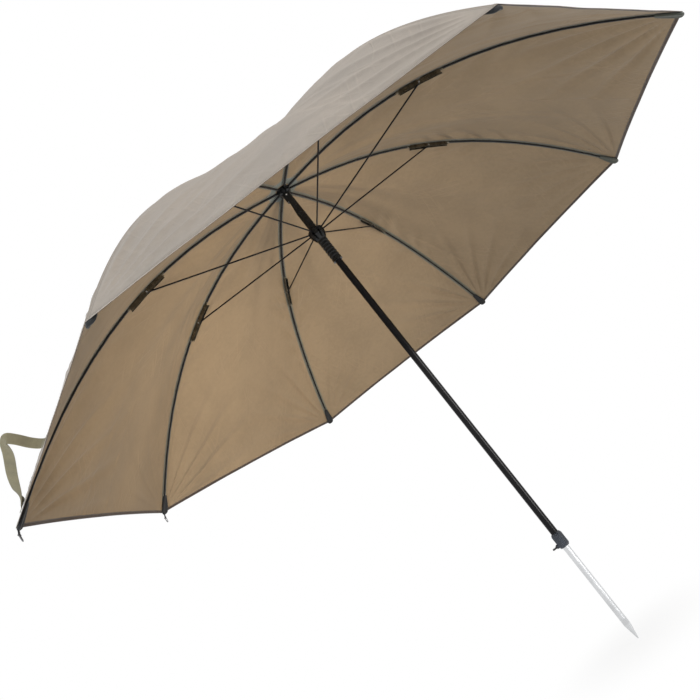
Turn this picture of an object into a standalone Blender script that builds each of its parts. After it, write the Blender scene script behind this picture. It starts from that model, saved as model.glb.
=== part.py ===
"""Fishing umbrella: a two-part pole with a ground point, a sliding runner, jointed ribs and a canopy.

Lengths are in metres. +Z runs up the pole and the origin is the tip of the ground point.
The ribs count anticlockwise seen from above, and the middle of a panel faces -Y.
"""

import math

import bmesh
import bpy
from mathutils import Matrix, Vector

# Canopy and frame, open
RIB_COUNT = 8
FIRST_RIB_DEGREES = -157.5
TIP_RADIUS = 1.130
CANOPY_DROP = 0.500
RIB_BEND_POWER = 2.4
HUB_HEIGHT = 1.667
HUB_PIVOT_RADIUS = 0.016
KNUCKLE_RADIUS = 0.547
KNUCKLE_DEPTH = 0.0065
RUNNER_DROP = 0.181
RUNNER_PIVOT_RADIUS = 0.022

# Fits
GAP = 0.0003
OVERRUN = 0.002
WELD = 0.0003
MERGE_DISTANCE = 0.000001
SMOOTH_DEGREES = 35.0
SIDEWAYS = Vector((0.0, 1.0, 0.0))

# Pole
POLE_RADIUS = 0.011
POLE_WALL = 0.0012
LOWER_POLE_LENGTH = 1.050
LOWER_POLE_WALL = 0.0012
POINT_LENGTH = 0.062
POINT_SHOULDER_LENGTH = 0.018
POINT_END_WIDTH = 0.003
POINT_END_THICKNESS = 0.0015
POINT_FLAT_THICKNESS = 0.007
ROUND_SIDES = 24

# Height collar and its thumbscrew
COLLAR_HEIGHT = 0.317
COLLAR_LENGTH = 0.044
COLLAR_RADIUS = 0.0172
COLLAR_END_RADIUS = 0.0140
COLLAR_CHAMFER = 0.006
COLLAR_SIDES = 8
COLLAR_LEDGE_DROP = 0.004
SCREW_DROP = 0.011
SCREW_RADIUS = 0.0028
SCREW_BOSS_RADIUS = 0.0062
SCREW_BOSS_LENGTH = 0.0030
SCREW_NECK_LENGTH = 0.0030
SCREW_NECK_RADIUS = 0.0042
WING_LENGTH = 0.0110
WING_WIDTH = 0.0170
WING_THICKNESS = 0.0042
WING_WAIST_SHARE = 0.55

# Hub
HUB_RADIUS = 0.022
HUB_FLANGE_TOP = 0.008
HUB_FLANGE_THICKNESS = 0.003
HUB_WHEEL_BOTTOM = 0.009
HUB_WHEEL_TAPER = 0.003
HUB_SPIGOT_RADIUS = 0.0135
HUB_SPIGOT_SOLID = 0.105
HUB_SLOT_WIDTH = 0.004
HUB_SLOT_FLOOR = 0.0122
HUB_WIRE_RADIUS = 0.001
HUB_WIRE_SIDES = 6
HUB_WIRE_STEPS = 4
NOTCH_TOP = 0.043
NOTCH_BOTTOM = 0.097
NOTCH_DEPTH = 0.0062
HUB_PIN_DROP = 0.021
HUB_PIN_RADIUS = 0.0015
HUB_PIN_HEAD_RADIUS = 0.0030
HUB_PIN_HEAD_HEIGHT = 0.0012
CAP_RADIUS = 0.030
CAP_HEIGHT = 0.014
CAP_RIM = 0.0025
CAP_STUD_RADIUS = 0.005
CAP_STUD_LENGTH = 0.030

# Runner
CROWN_RISE = 0.009
CROWN_RADIUS = 0.027
CROWN_TOP_RADIUS = 0.019
CROWN_SHOULDER = 0.0025
CROWN_RIM_HEIGHT = 0.009
CROWN_LENGTH = 0.0425
CROWN_BELL_STEPS = 3
CROWN_SLOT_WIDTH = 0.006
CROWN_SLOT_FLOOR = 0.0172
GRIP_LENGTH = 0.086
GRIP_RADIUS = 0.0148
GRIP_RIB_RADIUS = 0.0162
GRIP_RIB_COUNT = 6
GRIP_RIB_PITCH = 0.0118
GRIP_RIB_WIDTH_SHARE = 0.5
GRIP_END_COLLAR = 0.006

# Ribs
RIB_RADIUS = 0.0035
RIB_TIP_RADIUS = 0.0026
ROD_SIDES = 8
INNER_RIB_STEPS = 6
OUTER_RIB_STEPS = 8
TONGUE_LENGTH = 0.013
TONGUE_THICKNESS = 0.003
TONGUE_HALF_HEIGHT = 0.003
EYE_RADIUS = 0.0034
EYE_STEPS = 5
ROD_END_SETBACK = 0.010
RIB_END_SETBACK = 0.004

# Knuckle brackets
CHANNEL_LENGTH = 0.072
CHANNEL_WALL = 0.001
CHANNEL_END_SLANT = 0.008
CHANNEL_CROWN_SHARE = 0.35
CHANNEL_SHOULDER_DROP = 0.004
CHANNEL_EAR_RADIUS = 0.0055
CHANNEL_EAR_REACH = 0.0030
CHANNEL_WEB_SETBACK = 0.009
OUTER_CHANNEL_HALF_WIDTH = 0.0047
RIVET_RADIUS = 0.002
RIVET_HEAD_RADIUS = 0.0036
RIVET_HEAD_HEIGHT = 0.0013
RIVET_SIDES = 10

# Stretchers
STRETCHER_RADIUS = 0.0025
STRETCHER_EYE_RADIUS = 0.0040
STRETCHER_EYE_HALF_WIDTH = 0.0032
RUNNER_EYE_RADIUS = 0.0031
RUNNER_EYE_HALF_WIDTH = 0.0026
RUNNER_EYE_BORE = 0.0012

# Rib end pockets and guy rings
POCKET_LENGTH = 0.060
POCKET_NOSE = 0.011
POCKET_HALF_WIDTH = 0.013
POCKET_THICKNESS = 0.010
POCKET_SIDES = 10
# Each station is a place along the pocket as a share of its length or, past the rib's end, of its nose,
# then its width and thickness as shares of the full ones.
POCKET_STATION_SHARES = [
    (-1.00, 0.50, 0.80), (-0.70, 0.72, 0.95), (-0.35, 0.95, 1.00), (-0.05, 1.00, 1.00),
    (0.45, 0.84, 0.92), (0.82, 0.52, 0.70), (1.00, 0.20, 0.36),
]
TAB_WIDTH = 0.014
TAB_THICKNESS = 0.0025
TAB_LENGTH = 0.016
TAB_ROOT = 0.004
TAB_EYE_RADIUS = 0.0032
RING_WIRE_RADIUS = 0.00125
RING_WIDTH = 0.020
RING_LENGTH = 0.018
RING_ARC_STEPS = 12
RING_WIRE_SIDES = 6
TAB_SLOPE_DEGREES = 72.0
RINGED_RIB_TWISTS = {1: 0.0, 8: 55.0}

# Tie strap on the outside of the first panel
STRAPPED_RIB = 1
STRAP_WIDTH = 0.025
STRAP_THICKNESS = 0.0015
STRAP_HEM_GAP = 0.021
STRAP_REACH = 0.078
STRAP_STEPS = 3
STRAP_TWIST_DEGREES = 90.0
# Each station is a share of the way to the next rib, then the standing-out and the twist as shares.
STRAP_STATION_SHARES = [
    (0.470, 0.00, 0.00), (0.445, 0.00, 0.00), (0.425, 0.05, 0.00), (0.413, 0.33, 0.00),
    (0.409, 0.72, 0.05), (0.398, 0.97, 0.35), (0.368, 0.95, 0.80), (0.320, 0.78, 1.00),
    (0.220, 0.53, 1.00), (0.140, 0.27, 0.75), (0.100, 0.10, 0.25), (0.075, 0.00, 0.00),
    (0.045, 0.00, 0.00),
]

# Canopy cloth
CLOTH_THICKNESS = 0.0010
CLOTH_SEAT = 0.0009
CLOTH_HUB_RADIUS = 0.0065
CLOTH_LIFT_REACH = 0.060
PANEL_SAG = 0.028
PANEL_SAG_POWER = 2.0
HEM_SCALLOP = 0.006
INNER_CLOTH_STEPS = 6
OUTER_CLOTH_STEPS = 9
# Lengthwise rows of points, as shares of the way from a rib to the panel's middle
CLOTH_ROW_SHARES = (0.0, 0.20, 0.56, 1.0)
SLOPE_PROBE = 0.0005

# Finishes: colour, roughness, metallic
BLACK_STEEL = ((0.012, 0.012, 0.013), 0.30, 0.6)
BLACK_GLASS_FIBRE = ((0.014, 0.014, 0.015), 0.40, 0.0)
BLACK_MOULDING = ((0.016, 0.016, 0.018), 0.35, 0.0)
BLUE_GREY_MOULDING = ((0.060, 0.065, 0.080), 0.45, 0.0)
BRIGHT_STEEL = ((0.75, 0.76, 0.78), 0.28, 1.0)
BLACK_WEBBING = ((0.020, 0.021, 0.022), 0.80, 0.0)
OLIVE_WEBBING = ((0.200, 0.175, 0.095), 0.85, 0.0)
CANOPY_CLOTH = ((0.270, 0.215, 0.145), 0.75, 0.0)

# Angles of the features that face one way
NOTCH_DEGREES = 180.0
SCREW_DEGREES = 180.0
HUB_PIN_DEGREES = -90.0

# Sizes worked out from those above
LOWER_POLE_RADIUS = POLE_RADIUS - POLE_WALL - GAP
POLE_BORE = POLE_RADIUS + GAP
COLLAR_TOP = COLLAR_HEIGHT + COLLAR_LENGTH / 2
COLLAR_BOTTOM = COLLAR_HEIGHT - COLLAR_LENGTH / 2
COLLAR_LEDGE = COLLAR_HEIGHT - COLLAR_LEDGE_DROP
SCREW_HEIGHT = COLLAR_HEIGHT - SCREW_DROP
CROWN_TOP = -RUNNER_DROP + CROWN_RISE
HUB_BOTTOM = CROWN_TOP + GAP
CROWN_BOTTOM = CROWN_TOP - CROWN_LENGTH
RIVET_BORE = RIVET_RADIUS + GAP
CHANNEL_TOP = KNUCKLE_DEPTH + RIB_RADIUS + CHANNEL_WALL
CHANNEL_VOID_TOP = KNUCKLE_DEPTH + RIB_RADIUS - WELD
INNER_CHANNEL_HALF_WIDTH = OUTER_CHANNEL_HALF_WIDTH + GAP + CHANNEL_WALL
CLOTH_RISE = RIB_RADIUS + CHANNEL_WALL + CLOTH_SEAT
CLOTH_HUB_LIFT = HUB_FLANGE_TOP + GAP - CLOTH_RISE
RING_BORE = RING_WIRE_RADIUS + GAP
RIB_ANGLE = 2 * math.pi / RIB_COUNT


def clear_scene():
    for item in list(bpy.data.objects):
        bpy.data.objects.remove(item, do_unlink=True)


def make_material(name, colour, roughness, metallic):
    made = bpy.data.materials.new(name)
    made.use_nodes = True
    shader = made.node_tree.nodes["Principled BSDF"]
    shader.inputs["Base Color"].default_value = (*colour, 1.0)
    shader.inputs["Roughness"].default_value = roughness
    shader.inputs["Metallic"].default_value = metallic
    return made


def mesh_from(bm, name):
    bmesh.ops.recalc_face_normals(bm, faces=bm.faces)
    mesh = bpy.data.meshes.new(name)
    bm.to_mesh(mesh)
    bm.free()
    return mesh


def turned(name, outline, sides=ROUND_SIDES):
    """A closed outline of (radius, height) points, turned about Z."""
    bm = bmesh.new()
    corners = [bm.verts.new((radius, 0.0, height)) for radius, height in outline]
    edges = []
    for index in range(len(corners)):
        start, end = outline[index - 1], outline[index]
        if start[0] > 0.0 or end[0] > 0.0:
            edges.append(bm.edges.new((corners[index - 1], corners[index])))
    bmesh.ops.spin(
        bm, geom=corners + edges, cent=(0.0, 0.0, 0.0), axis=(0.0, 0.0, 1.0),
        angle=2 * math.pi, steps=sides, use_merge=True,
    )
    bmesh.ops.remove_doubles(bm, verts=bm.verts, dist=MERGE_DISTANCE)
    return mesh_from(bm, name)


def loft(bm, rings, closed=False):
    """Skin over rings of equally many vertices, with flat ends unless the rings close on themselves."""
    pairs = list(zip(rings, rings[1:]))
    if closed:
        pairs.append((rings[-1], rings[0]))
    else:
        bm.faces.new(rings[0])
        bm.faces.new(rings[-1])
    for near, far in pairs:
        for index in range(len(near)):
            bm.faces.new((near[index - 1], near[index], far[index], far[index - 1]))


def tube_through(name, points, radii, sides=ROD_SIDES, closed=False):
    """A round bar along points (Vectors) that lie in one plane."""
    bm = bmesh.new()
    rings = []
    last = len(points) - 1
    for index, point in enumerate(points):
        before = points[index - 1] if index > 0 or closed else point
        after = points[(index + 1) % len(points)] if index < last or closed else point
        along = (after - before).normalized()
        side = SIDEWAYS if abs(along.y) < 1 - MERGE_DISTANCE else Vector((1.0, 0.0, 0.0))
        across = along.cross(side).normalized()
        side = across.cross(along).normalized()
        ring = []
        for step in range(sides):
            angle = 2 * math.pi * (step + 0.5) / sides
            reach = radii[index] * (across * math.cos(angle) + side * math.sin(angle))
            ring.append(bm.verts.new(point + reach))
        rings.append(ring)
    loft(bm, rings, closed)
    return mesh_from(bm, name)


def bar(name, start, end, radius, sides=RIVET_SIDES):
    return tube_through(name, [Vector(start), Vector(end)], [radius, radius], sides)


def prism(name, outline, half_width):
    """A side outline of (x, z) points, carried from -half_width to +half_width along Y."""
    bm = bmesh.new()
    face = bm.faces.new([bm.verts.new((x, -half_width, z)) for x, z in outline])
    grown = bmesh.ops.extrude_face_region(bm, geom=[face])
    moved = [item for item in grown["geom"] if isinstance(item, bmesh.types.BMVert)]
    bmesh.ops.translate(bm, vec=(0.0, 2 * half_width, 0.0), verts=moved)
    return mesh_from(bm, name)


def box(name, low, high):
    x0, y0, z0 = low
    x1, y1, z1 = high
    made = prism(name, [(x0, z0), (x1, z0), (x1, z1), (x0, z1)], (y1 - y0) / 2)
    made.transform(Matrix.Translation((0.0, (y0 + y1) / 2, 0.0)))
    return made


def moved(mesh, matrix):
    mesh.transform(matrix)
    return mesh


def around_axis(mesh_maker, angles):
    """Copies of a mesh, turned about Z by each angle."""
    return [moved(mesh_maker(), Matrix.Rotation(angle, 4, "Z")) for angle in angles]


def combined(base, tools, operation):
    """The base mesh after each tool mesh is joined to it or cut from it."""
    maker = bpy.data.objects.new("combined", base)
    bpy.context.collection.objects.link(maker)
    helpers = []
    for tool in tools:
        helper = bpy.data.objects.new("tool", tool)
        bpy.context.collection.objects.link(helper)
        change = maker.modifiers.new("change", "BOOLEAN")
        change.operation = operation
        change.solver = "EXACT"
        change.object = helper
        helpers.append(helper)
    graph = bpy.context.evaluated_depsgraph_get()
    result = bpy.data.meshes.new_from_object(maker.evaluated_get(graph))
    result.name = base.name
    for item in [maker, *helpers]:
        bpy.data.objects.remove(item, do_unlink=True)
    return result


def joined(base, *tools):
    return combined(base, tools, "UNION")


def cut(base, *tools):
    return combined(base, tools, "DIFFERENCE")


def place(name, mesh, material, parent=None, location=(0.0, 0.0, 0.0), turn=0.0, smooth=True):
    """A named object of the mesh, at a place and a turn about Z in its parent's frame."""
    mesh.materials.clear()
    mesh.materials.append(material)
    if smooth:
        mesh.shade_smooth()
        mesh.set_sharp_from_angle(angle=math.radians(SMOOTH_DEGREES))
    made = bpy.data.objects.new(name, mesh)
    made.location = location
    made.rotation_euler = (0.0, 0.0, turn)
    made.parent = parent
    bpy.context.collection.objects.link(made)
    return made


def make_empty(name, parent=None, location=(0.0, 0.0, 0.0), turn=0.0):
    made = bpy.data.objects.new(name, None)
    made.location = location
    made.rotation_euler = (0.0, 0.0, turn)
    made.parent = parent
    bpy.context.collection.objects.link(made)
    return made


# The rib's curve, in the rib's own upright plane: radius from the pole axis, height from the hub pivots


def rib_slope(radius):
    """The angle in radians by which the open rib points below level."""
    steepness = RIB_BEND_POWER * CANOPY_DROP / TIP_RADIUS
    return math.atan(steepness * (radius / TIP_RADIUS) ** (RIB_BEND_POWER - 1))


def rib_point(radius, rise=0.0):
    """The open rib's centre line at a radius, moved square to it by rise."""
    drop = CANOPY_DROP * (radius / TIP_RADIUS) ** RIB_BEND_POWER
    slope = rib_slope(radius)
    return Vector((radius + rise * math.sin(slope), 0.0, rise * math.cos(slope) - drop))


HUB_PIVOT = Vector((HUB_PIVOT_RADIUS, 0.0, 0.0))
KNUCKLE = rib_point(KNUCKLE_RADIUS, -KNUCKLE_DEPTH)
RUNNER_PIVOT = Vector((RUNNER_PIVOT_RADIUS, 0.0, -RUNNER_DROP))
TIP_SLOPE = rib_slope(TIP_RADIUS)


def rib_angles():
    return [math.radians(FIRST_RIB_DEGREES) + RIB_ANGLE * index for index in range(RIB_COUNT)]


# Pole


def upper_pole_mesh():
    bottom = COLLAR_LEDGE + GAP
    top = HUB_HEIGHT - HUB_SPIGOT_SOLID - GAP
    inner = POLE_RADIUS - POLE_WALL
    outline = [(inner, bottom), (POLE_RADIUS, bottom), (POLE_RADIUS, top), (inner, top)]
    return turned("upper_pole", outline)


def lower_pole_mesh():
    """A tube whose lower end is pressed flat and drawn to a two-faced point."""
    stations = [
        (0.0, POINT_END_WIDTH / 2, POINT_END_THICKNESS / 2),
        (POINT_LENGTH - POINT_SHOULDER_LENGTH, LOWER_POLE_RADIUS, POINT_FLAT_THICKNESS / 2),
        (POINT_LENGTH, LOWER_POLE_RADIUS, LOWER_POLE_RADIUS),
        (LOWER_POLE_LENGTH, LOWER_POLE_RADIUS, LOWER_POLE_RADIUS),
    ]
    bm = bmesh.new()
    rings = []
    for height, half_width, half_thickness in stations:
        ring = []
        for step in range(ROUND_SIDES):
            angle = 2 * math.pi * step / ROUND_SIDES
            aside, ahead = half_width * math.cos(angle), half_thickness * math.sin(angle)
            ring.append(bm.verts.new((aside, ahead, height)))
        rings.append(ring)
    loft(bm, rings)
    outside = mesh_from(bm, "lower_pole")
    bore = LOWER_POLE_RADIUS - LOWER_POLE_WALL
    hollow = bar(
        "hollow", (0.0, 0.0, POINT_LENGTH + POINT_SHOULDER_LENGTH),
        (0.0, 0.0, LOWER_POLE_LENGTH + OVERRUN), bore, ROUND_SIDES,
    )
    return cut(outside, hollow)


# Height collar and thumbscrew


def collar_mesh():
    """A faceted clamp ring with a boss for the thumbscrew."""
    outline = [
        (0.0, COLLAR_BOTTOM),
        (COLLAR_END_RADIUS, COLLAR_BOTTOM),
        (COLLAR_RADIUS, COLLAR_BOTTOM + COLLAR_CHAMFER),
        (COLLAR_RADIUS, COLLAR_TOP - COLLAR_CHAMFER),
        (COLLAR_END_RADIUS, COLLAR_TOP),
        (0.0, COLLAR_TOP),
    ]
    body = turned("height_collar", outline, COLLAR_SIDES)
    turn = Matrix.Rotation(math.radians(SCREW_DEGREES) + math.pi / COLLAR_SIDES, 4, "Z")
    body.transform(turn)
    screw_turn = Matrix.Rotation(math.radians(SCREW_DEGREES), 4, "Z")
    boss_end = COLLAR_RADIUS + SCREW_BOSS_LENGTH
    boss = bar(
        "boss", (LOWER_POLE_RADIUS + OVERRUN, 0.0, SCREW_HEIGHT),
        (boss_end, 0.0, SCREW_HEIGHT), SCREW_BOSS_RADIUS, ROUND_SIDES,
    )
    body = joined(body, moved(boss, screw_turn))
    lower_bore = bar(
        "bore", (0.0, 0.0, COLLAR_BOTTOM - OVERRUN), (0.0, 0.0, COLLAR_TOP + OVERRUN),
        LOWER_POLE_RADIUS + GAP, ROUND_SIDES,
    )
    upper_bore = bar(
        "socket", (0.0, 0.0, COLLAR_LEDGE), (0.0, 0.0, COLLAR_TOP + OVERRUN), POLE_BORE, ROUND_SIDES,
    )
    screw_hole = bar(
        "hole", (0.0, 0.0, SCREW_HEIGHT), (boss_end + OVERRUN, 0.0, SCREW_HEIGHT),
        SCREW_RADIUS + GAP, RIVET_SIDES,
    )
    return cut(body, lower_bore, upper_bore, moved(screw_hole, screw_turn))


def thumbscrew_mesh():
    """A screw along +X, tip first from the pole, with a flat wing. Its origin is on the pole's axis."""
    tip = LOWER_POLE_RADIUS + GAP
    neck_start = COLLAR_RADIUS + SCREW_BOSS_LENGTH + GAP
    neck_end = neck_start + SCREW_NECK_LENGTH
    wing_end = neck_end + WING_LENGTH
    shank = bar("thumbscrew", (tip, 0.0, 0.0), (neck_end, 0.0, 0.0), SCREW_RADIUS)
    neck = bar("neck", (neck_start, 0.0, 0.0), (neck_end, 0.0, 0.0), SCREW_NECK_RADIUS)
    half = WING_WIDTH / 2
    waist = half * WING_WAIST_SHARE
    sweep = [math.pi * step / EYE_STEPS for step in range(EYE_STEPS + 1)]
    reach = wing_end - neck_end
    round_end = [(neck_end + reach * math.sin(angle), half * math.cos(angle)) for angle in sweep]
    outline = [(neck_end - WELD, waist), *round_end[1:-1], (neck_end - WELD, -waist)]
    wing = prism("wing", outline, WING_THICKNESS / 2)
    wing.transform(Matrix.Rotation(math.pi / 2, 4, "X"))
    return joined(shank, neck, wing)


# Hub, its wire, its cross pin and the cap


def hub_slot():
    return box(
        "slot", (HUB_SLOT_FLOOR, -HUB_SLOT_WIDTH / 2, -HUB_WHEEL_BOTTOM - HUB_WHEEL_TAPER - OVERRUN),
        (HUB_RADIUS + OVERRUN, HUB_SLOT_WIDTH / 2, HUB_FLANGE_TOP - HUB_FLANGE_THICKNESS),
    )


def hub_pin_hole():
    hole = bar(
        "hole", (-HUB_RADIUS, 0.0, -HUB_PIN_DROP), (HUB_RADIUS, 0.0, -HUB_PIN_DROP), HUB_PIN_RADIUS + GAP,
    )
    return moved(hole, Matrix.Rotation(math.radians(HUB_PIN_DEGREES), 4, "Z"))


def wire_ring(name, wire_radius):
    outline = []
    for step in range(HUB_WIRE_SIDES):
        angle = 2 * math.pi * (step + 0.5) / HUB_WIRE_SIDES
        outline.append((HUB_PIVOT_RADIUS + wire_radius * math.cos(angle), wire_radius * math.sin(angle)))
    made = turned(name, outline, HUB_WIRE_STEPS * RIB_COUNT)
    return moved(made, Matrix.Rotation(math.radians(FIRST_RIB_DEGREES), 4, "Z"))


def hub_mesh():
    """Slotted wheel over a long spigot that takes the pole, with a slanted notch on one side."""
    stud_bore = CAP_STUD_RADIUS + GAP
    outline = [
        (POLE_BORE, HUB_BOTTOM),
        (HUB_SPIGOT_RADIUS, HUB_BOTTOM),
        (HUB_SPIGOT_RADIUS, -HUB_WHEEL_BOTTOM - HUB_WHEEL_TAPER),
        (HUB_RADIUS, -HUB_WHEEL_BOTTOM),
        (HUB_RADIUS, HUB_FLANGE_TOP),
        (stud_bore, HUB_FLANGE_TOP),
        (stud_bore, -CAP_STUD_LENGTH - GAP),
        (0.0, -CAP_STUD_LENGTH - GAP),
        (0.0, -HUB_SPIGOT_SOLID),
        (POLE_BORE, -HUB_SPIGOT_SOLID),
    ]
    body = turned("hub", outline)
    notch_floor = HUB_SPIGOT_RADIUS - NOTCH_DEPTH
    far = HUB_SPIGOT_RADIUS + OVERRUN
    notch_outline = [
        (notch_floor, -NOTCH_TOP), (notch_floor, -NOTCH_TOP - OVERRUN),
        (HUB_SPIGOT_RADIUS, -NOTCH_BOTTOM), (far, -NOTCH_BOTTOM), (far, -NOTCH_TOP),
    ]
    notch = prism("notch", notch_outline, HUB_SPIGOT_RADIUS + OVERRUN)
    notch.transform(Matrix.Rotation(math.radians(NOTCH_DEGREES), 4, "Z"))
    slots = around_axis(hub_slot, rib_angles())
    groove = wire_ring("groove", HUB_WIRE_RADIUS + GAP)
    return cut(body, notch, *slots, groove, hub_pin_hole())


def hub_pin_mesh():
    head = HUB_SPIGOT_RADIUS + GAP
    outer = head + HUB_PIN_HEAD_HEIGHT
    pin = bar("hub_pin", (-head, 0.0, 0.0), (head, 0.0, 0.0), HUB_PIN_RADIUS)
    heads = [
        tube_through(
            "head", [Vector((sign * (head - WELD + GAP), 0.0, 0.0)), Vector((sign * outer, 0.0, 0.0))],
            [HUB_PIN_HEAD_RADIUS, HUB_PIN_HEAD_RADIUS / 2], RIVET_SIDES,
        )
        for sign in (-1, 1)
    ]
    return joined(pin, *heads)


def cap_mesh():
    """A low dome that clamps the middle of the canopy on the hub, with a stud down into it."""
    seat = HUB_FLANGE_TOP + CLOTH_THICKNESS + 2 * GAP
    rise = CAP_HEIGHT - CAP_RIM
    sweep = [math.pi / 2 * step / EYE_STEPS for step in range(EYE_STEPS + 1)]
    dome = [
        (CAP_RADIUS * math.cos(angle), seat + CAP_RIM + rise * math.sin(angle)) for angle in sweep[:-1]
    ]
    outline = [
        (0.0, -CAP_STUD_LENGTH),
        (CAP_STUD_RADIUS, -CAP_STUD_LENGTH),
        (CAP_STUD_RADIUS, seat),
        (CAP_RADIUS, seat),
        *dome,
        (0.0, seat + CAP_HEIGHT),
    ]
    return cut(turned("top_cap", outline), hub_pin_hole())


# Runner


def crown_slot():
    return box(
        "slot", (CROWN_SLOT_FLOOR, -CROWN_SLOT_WIDTH / 2, CROWN_BOTTOM - OVERRUN),
        (CROWN_RADIUS + OVERRUN, CROWN_SLOT_WIDTH / 2, CROWN_TOP + OVERRUN),
    )


def runner_mesh():
    """Slotted crown that carries the stretchers, over a ribbed hand grip."""
    rim_top = CROWN_TOP - CROWN_SHOULDER
    rim_bottom = rim_top - CROWN_RIM_HEIGHT
    bell = CROWN_BOTTOM - rim_bottom
    bell_points = []
    for step in range(1, CROWN_BELL_STEPS):
        share = step / CROWN_BELL_STEPS
        radius = GRIP_RIB_RADIUS + (CROWN_RADIUS - GRIP_RIB_RADIUS) * math.cos(share * math.pi / 2)
        bell_points.append((radius, rim_bottom + bell * share))
    grip_bottom = CROWN_BOTTOM - GRIP_LENGTH
    grip = [(GRIP_RIB_RADIUS, CROWN_BOTTOM)]
    first_rib = grip_bottom + GRIP_END_COLLAR + GRIP_RIB_COUNT * GRIP_RIB_PITCH
    for index in range(GRIP_RIB_COUNT):
        top = first_rib - index * GRIP_RIB_PITCH
        land = GRIP_RIB_PITCH * GRIP_RIB_WIDTH_SHARE
        step = GRIP_RIB_RADIUS - GRIP_RADIUS
        grip += [
            (GRIP_RIB_RADIUS, top), (GRIP_RADIUS, top - step),
            (GRIP_RADIUS, top - land + step), (GRIP_RIB_RADIUS, top - land),
        ]
    outline = [
        (POLE_BORE, CROWN_TOP),
        (CROWN_TOP_RADIUS, CROWN_TOP),
        (CROWN_RADIUS, rim_top),
        (CROWN_RADIUS, rim_bottom),
        *bell_points,
        *grip,
        (GRIP_RIB_RADIUS, grip_bottom),
        (POLE_BORE, grip_bottom),
    ]
    body = turned("runner", outline)
    return cut(body, *around_axis(crown_slot, rib_angles()))


# Ribs, brackets and stretchers, in the upright plane of one rib


def eye_outline(radius, reach, half_height):
    """A round end about the origin that runs out along +X to reach."""
    sweep = [math.pi / 2 + math.pi * step / EYE_STEPS for step in range(EYE_STEPS + 1)]
    points = [(radius * math.cos(angle), radius * math.sin(angle)) for angle in sweep]
    return [(reach, half_height), *points, (reach, -half_height)]


def arched_bar(name, half_width, top):
    """A bar along X with sloped shoulders, open downward past the ears."""
    crown = half_width * CHANNEL_CROWN_SHARE
    shoulder = top - CHANNEL_SHOULDER_DROP
    low = -CHANNEL_EAR_RADIUS - OVERRUN
    section = [
        (-half_width, low), (-half_width, shoulder), (-crown, top),
        (crown, top), (half_width, shoulder), (half_width, low),
    ]
    return moved(prism(name, section, CHANNEL_LENGTH + OVERRUN), Matrix.Rotation(math.pi / 2, 4, "Z"))


def channel(name, half_width, slope, points_outward):
    """An open-bottomed bracket with two ears round the rivet, which is the origin."""
    ear = [
        (CHANNEL_EAR_RADIUS * math.cos(angle), CHANNEL_EAR_RADIUS * math.sin(angle))
        for angle in [math.pi / 2 + math.pi * step / EYE_STEPS for step in range(EYE_STEPS + 1)]
    ]
    outline = [
        (CHANNEL_LENGTH, -CHANNEL_EAR_RADIUS),
        (CHANNEL_LENGTH - CHANNEL_END_SLANT, CHANNEL_TOP + OVERRUN),
        (CHANNEL_WEB_SETBACK, CHANNEL_TOP + OVERRUN),
        (CHANNEL_EAR_REACH, CHANNEL_EAR_RADIUS),
        *ear,
    ]
    side = prism(name, outline, half_width + OVERRUN)
    outside = arched_bar("outside", half_width, CHANNEL_TOP)
    inside = arched_bar("inside", half_width - CHANNEL_WALL, CHANNEL_VOID_TOP)
    body = cut(combined(side, [outside], "INTERSECT"), inside)
    if not points_outward:
        body.transform(Matrix.Rotation(math.pi, 4, "Z"))
    return moved(body, Matrix.Rotation(slope, 4, "Y"))


def channel_slope(start_radius, end_radius):
    start, end = rib_point(start_radius), rib_point(end_radius)
    return math.atan2(start.z - end.z, end.x - start.x)


def inner_slope():
    return channel_slope(KNUCKLE_RADIUS - CHANNEL_LENGTH, KNUCKLE_RADIUS)


def outer_slope():
    return channel_slope(KNUCKLE_RADIUS, KNUCKLE_RADIUS + CHANNEL_LENGTH)


def rib_path(start, end, steps, origin):
    return [rib_point(start + (end - start) * step / steps) - origin for step in range(steps + 1)]


def rivet(name, half_width):
    """A cross rivet about the origin whose heads lie outside half_width."""
    shank = bar(name, (0.0, -half_width, 0.0), (0.0, half_width, 0.0), RIVET_RADIUS)
    heads = [
        tube_through(
            "head", [Vector((0.0, sign * (half_width - WELD), 0.0)),
                     Vector((0.0, sign * (half_width + RIVET_HEAD_HEIGHT), 0.0))],
            [RIVET_HEAD_RADIUS, RIVET_HEAD_RADIUS / 2], RIVET_SIDES,
        )
        for sign in (-1, 1)
    ]
    return joined(shank, *heads)


def inner_rib_mesh():
    """Rod from hub to knuckle, with its tongue, bracket and rivet. Its origin is the hub pivot."""
    start = HUB_PIVOT_RADIUS + TONGUE_LENGTH
    end = KNUCKLE_RADIUS - ROD_END_SETBACK
    path = rib_path(start, end, INNER_RIB_STEPS, HUB_PIVOT)
    rod = tube_through("inner_rib", path, [RIB_RADIUS] * len(path))
    reach = TONGUE_LENGTH + TONGUE_THICKNESS
    tongue = prism("tongue", eye_outline(EYE_RADIUS, reach, TONGUE_HALF_HEIGHT), TONGUE_THICKNESS / 2)
    at_knuckle = Matrix.Translation(KNUCKLE - HUB_PIVOT)
    bracket = moved(channel("bracket", INNER_CHANNEL_HALF_WIDTH, inner_slope(), False), at_knuckle)
    pin = moved(rivet("rivet", INNER_CHANNEL_HALF_WIDTH), at_knuckle)
    body = joined(rod, tongue, bracket, pin)
    hole = bar(
        "hole", (0.0, -TONGUE_THICKNESS, 0.0), (0.0, TONGUE_THICKNESS, 0.0), HUB_WIRE_RADIUS + GAP,
    )
    return cut(body, hole)


def outer_rib_radii(count):
    return [RIB_RADIUS + (RIB_TIP_RADIUS - RIB_RADIUS) * step / (count - 1) for step in range(count)]


def outer_rib_path():
    start = KNUCKLE_RADIUS + ROD_END_SETBACK
    return rib_path(start, TIP_RADIUS - RIB_END_SETBACK, OUTER_RIB_STEPS, KNUCKLE)


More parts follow.
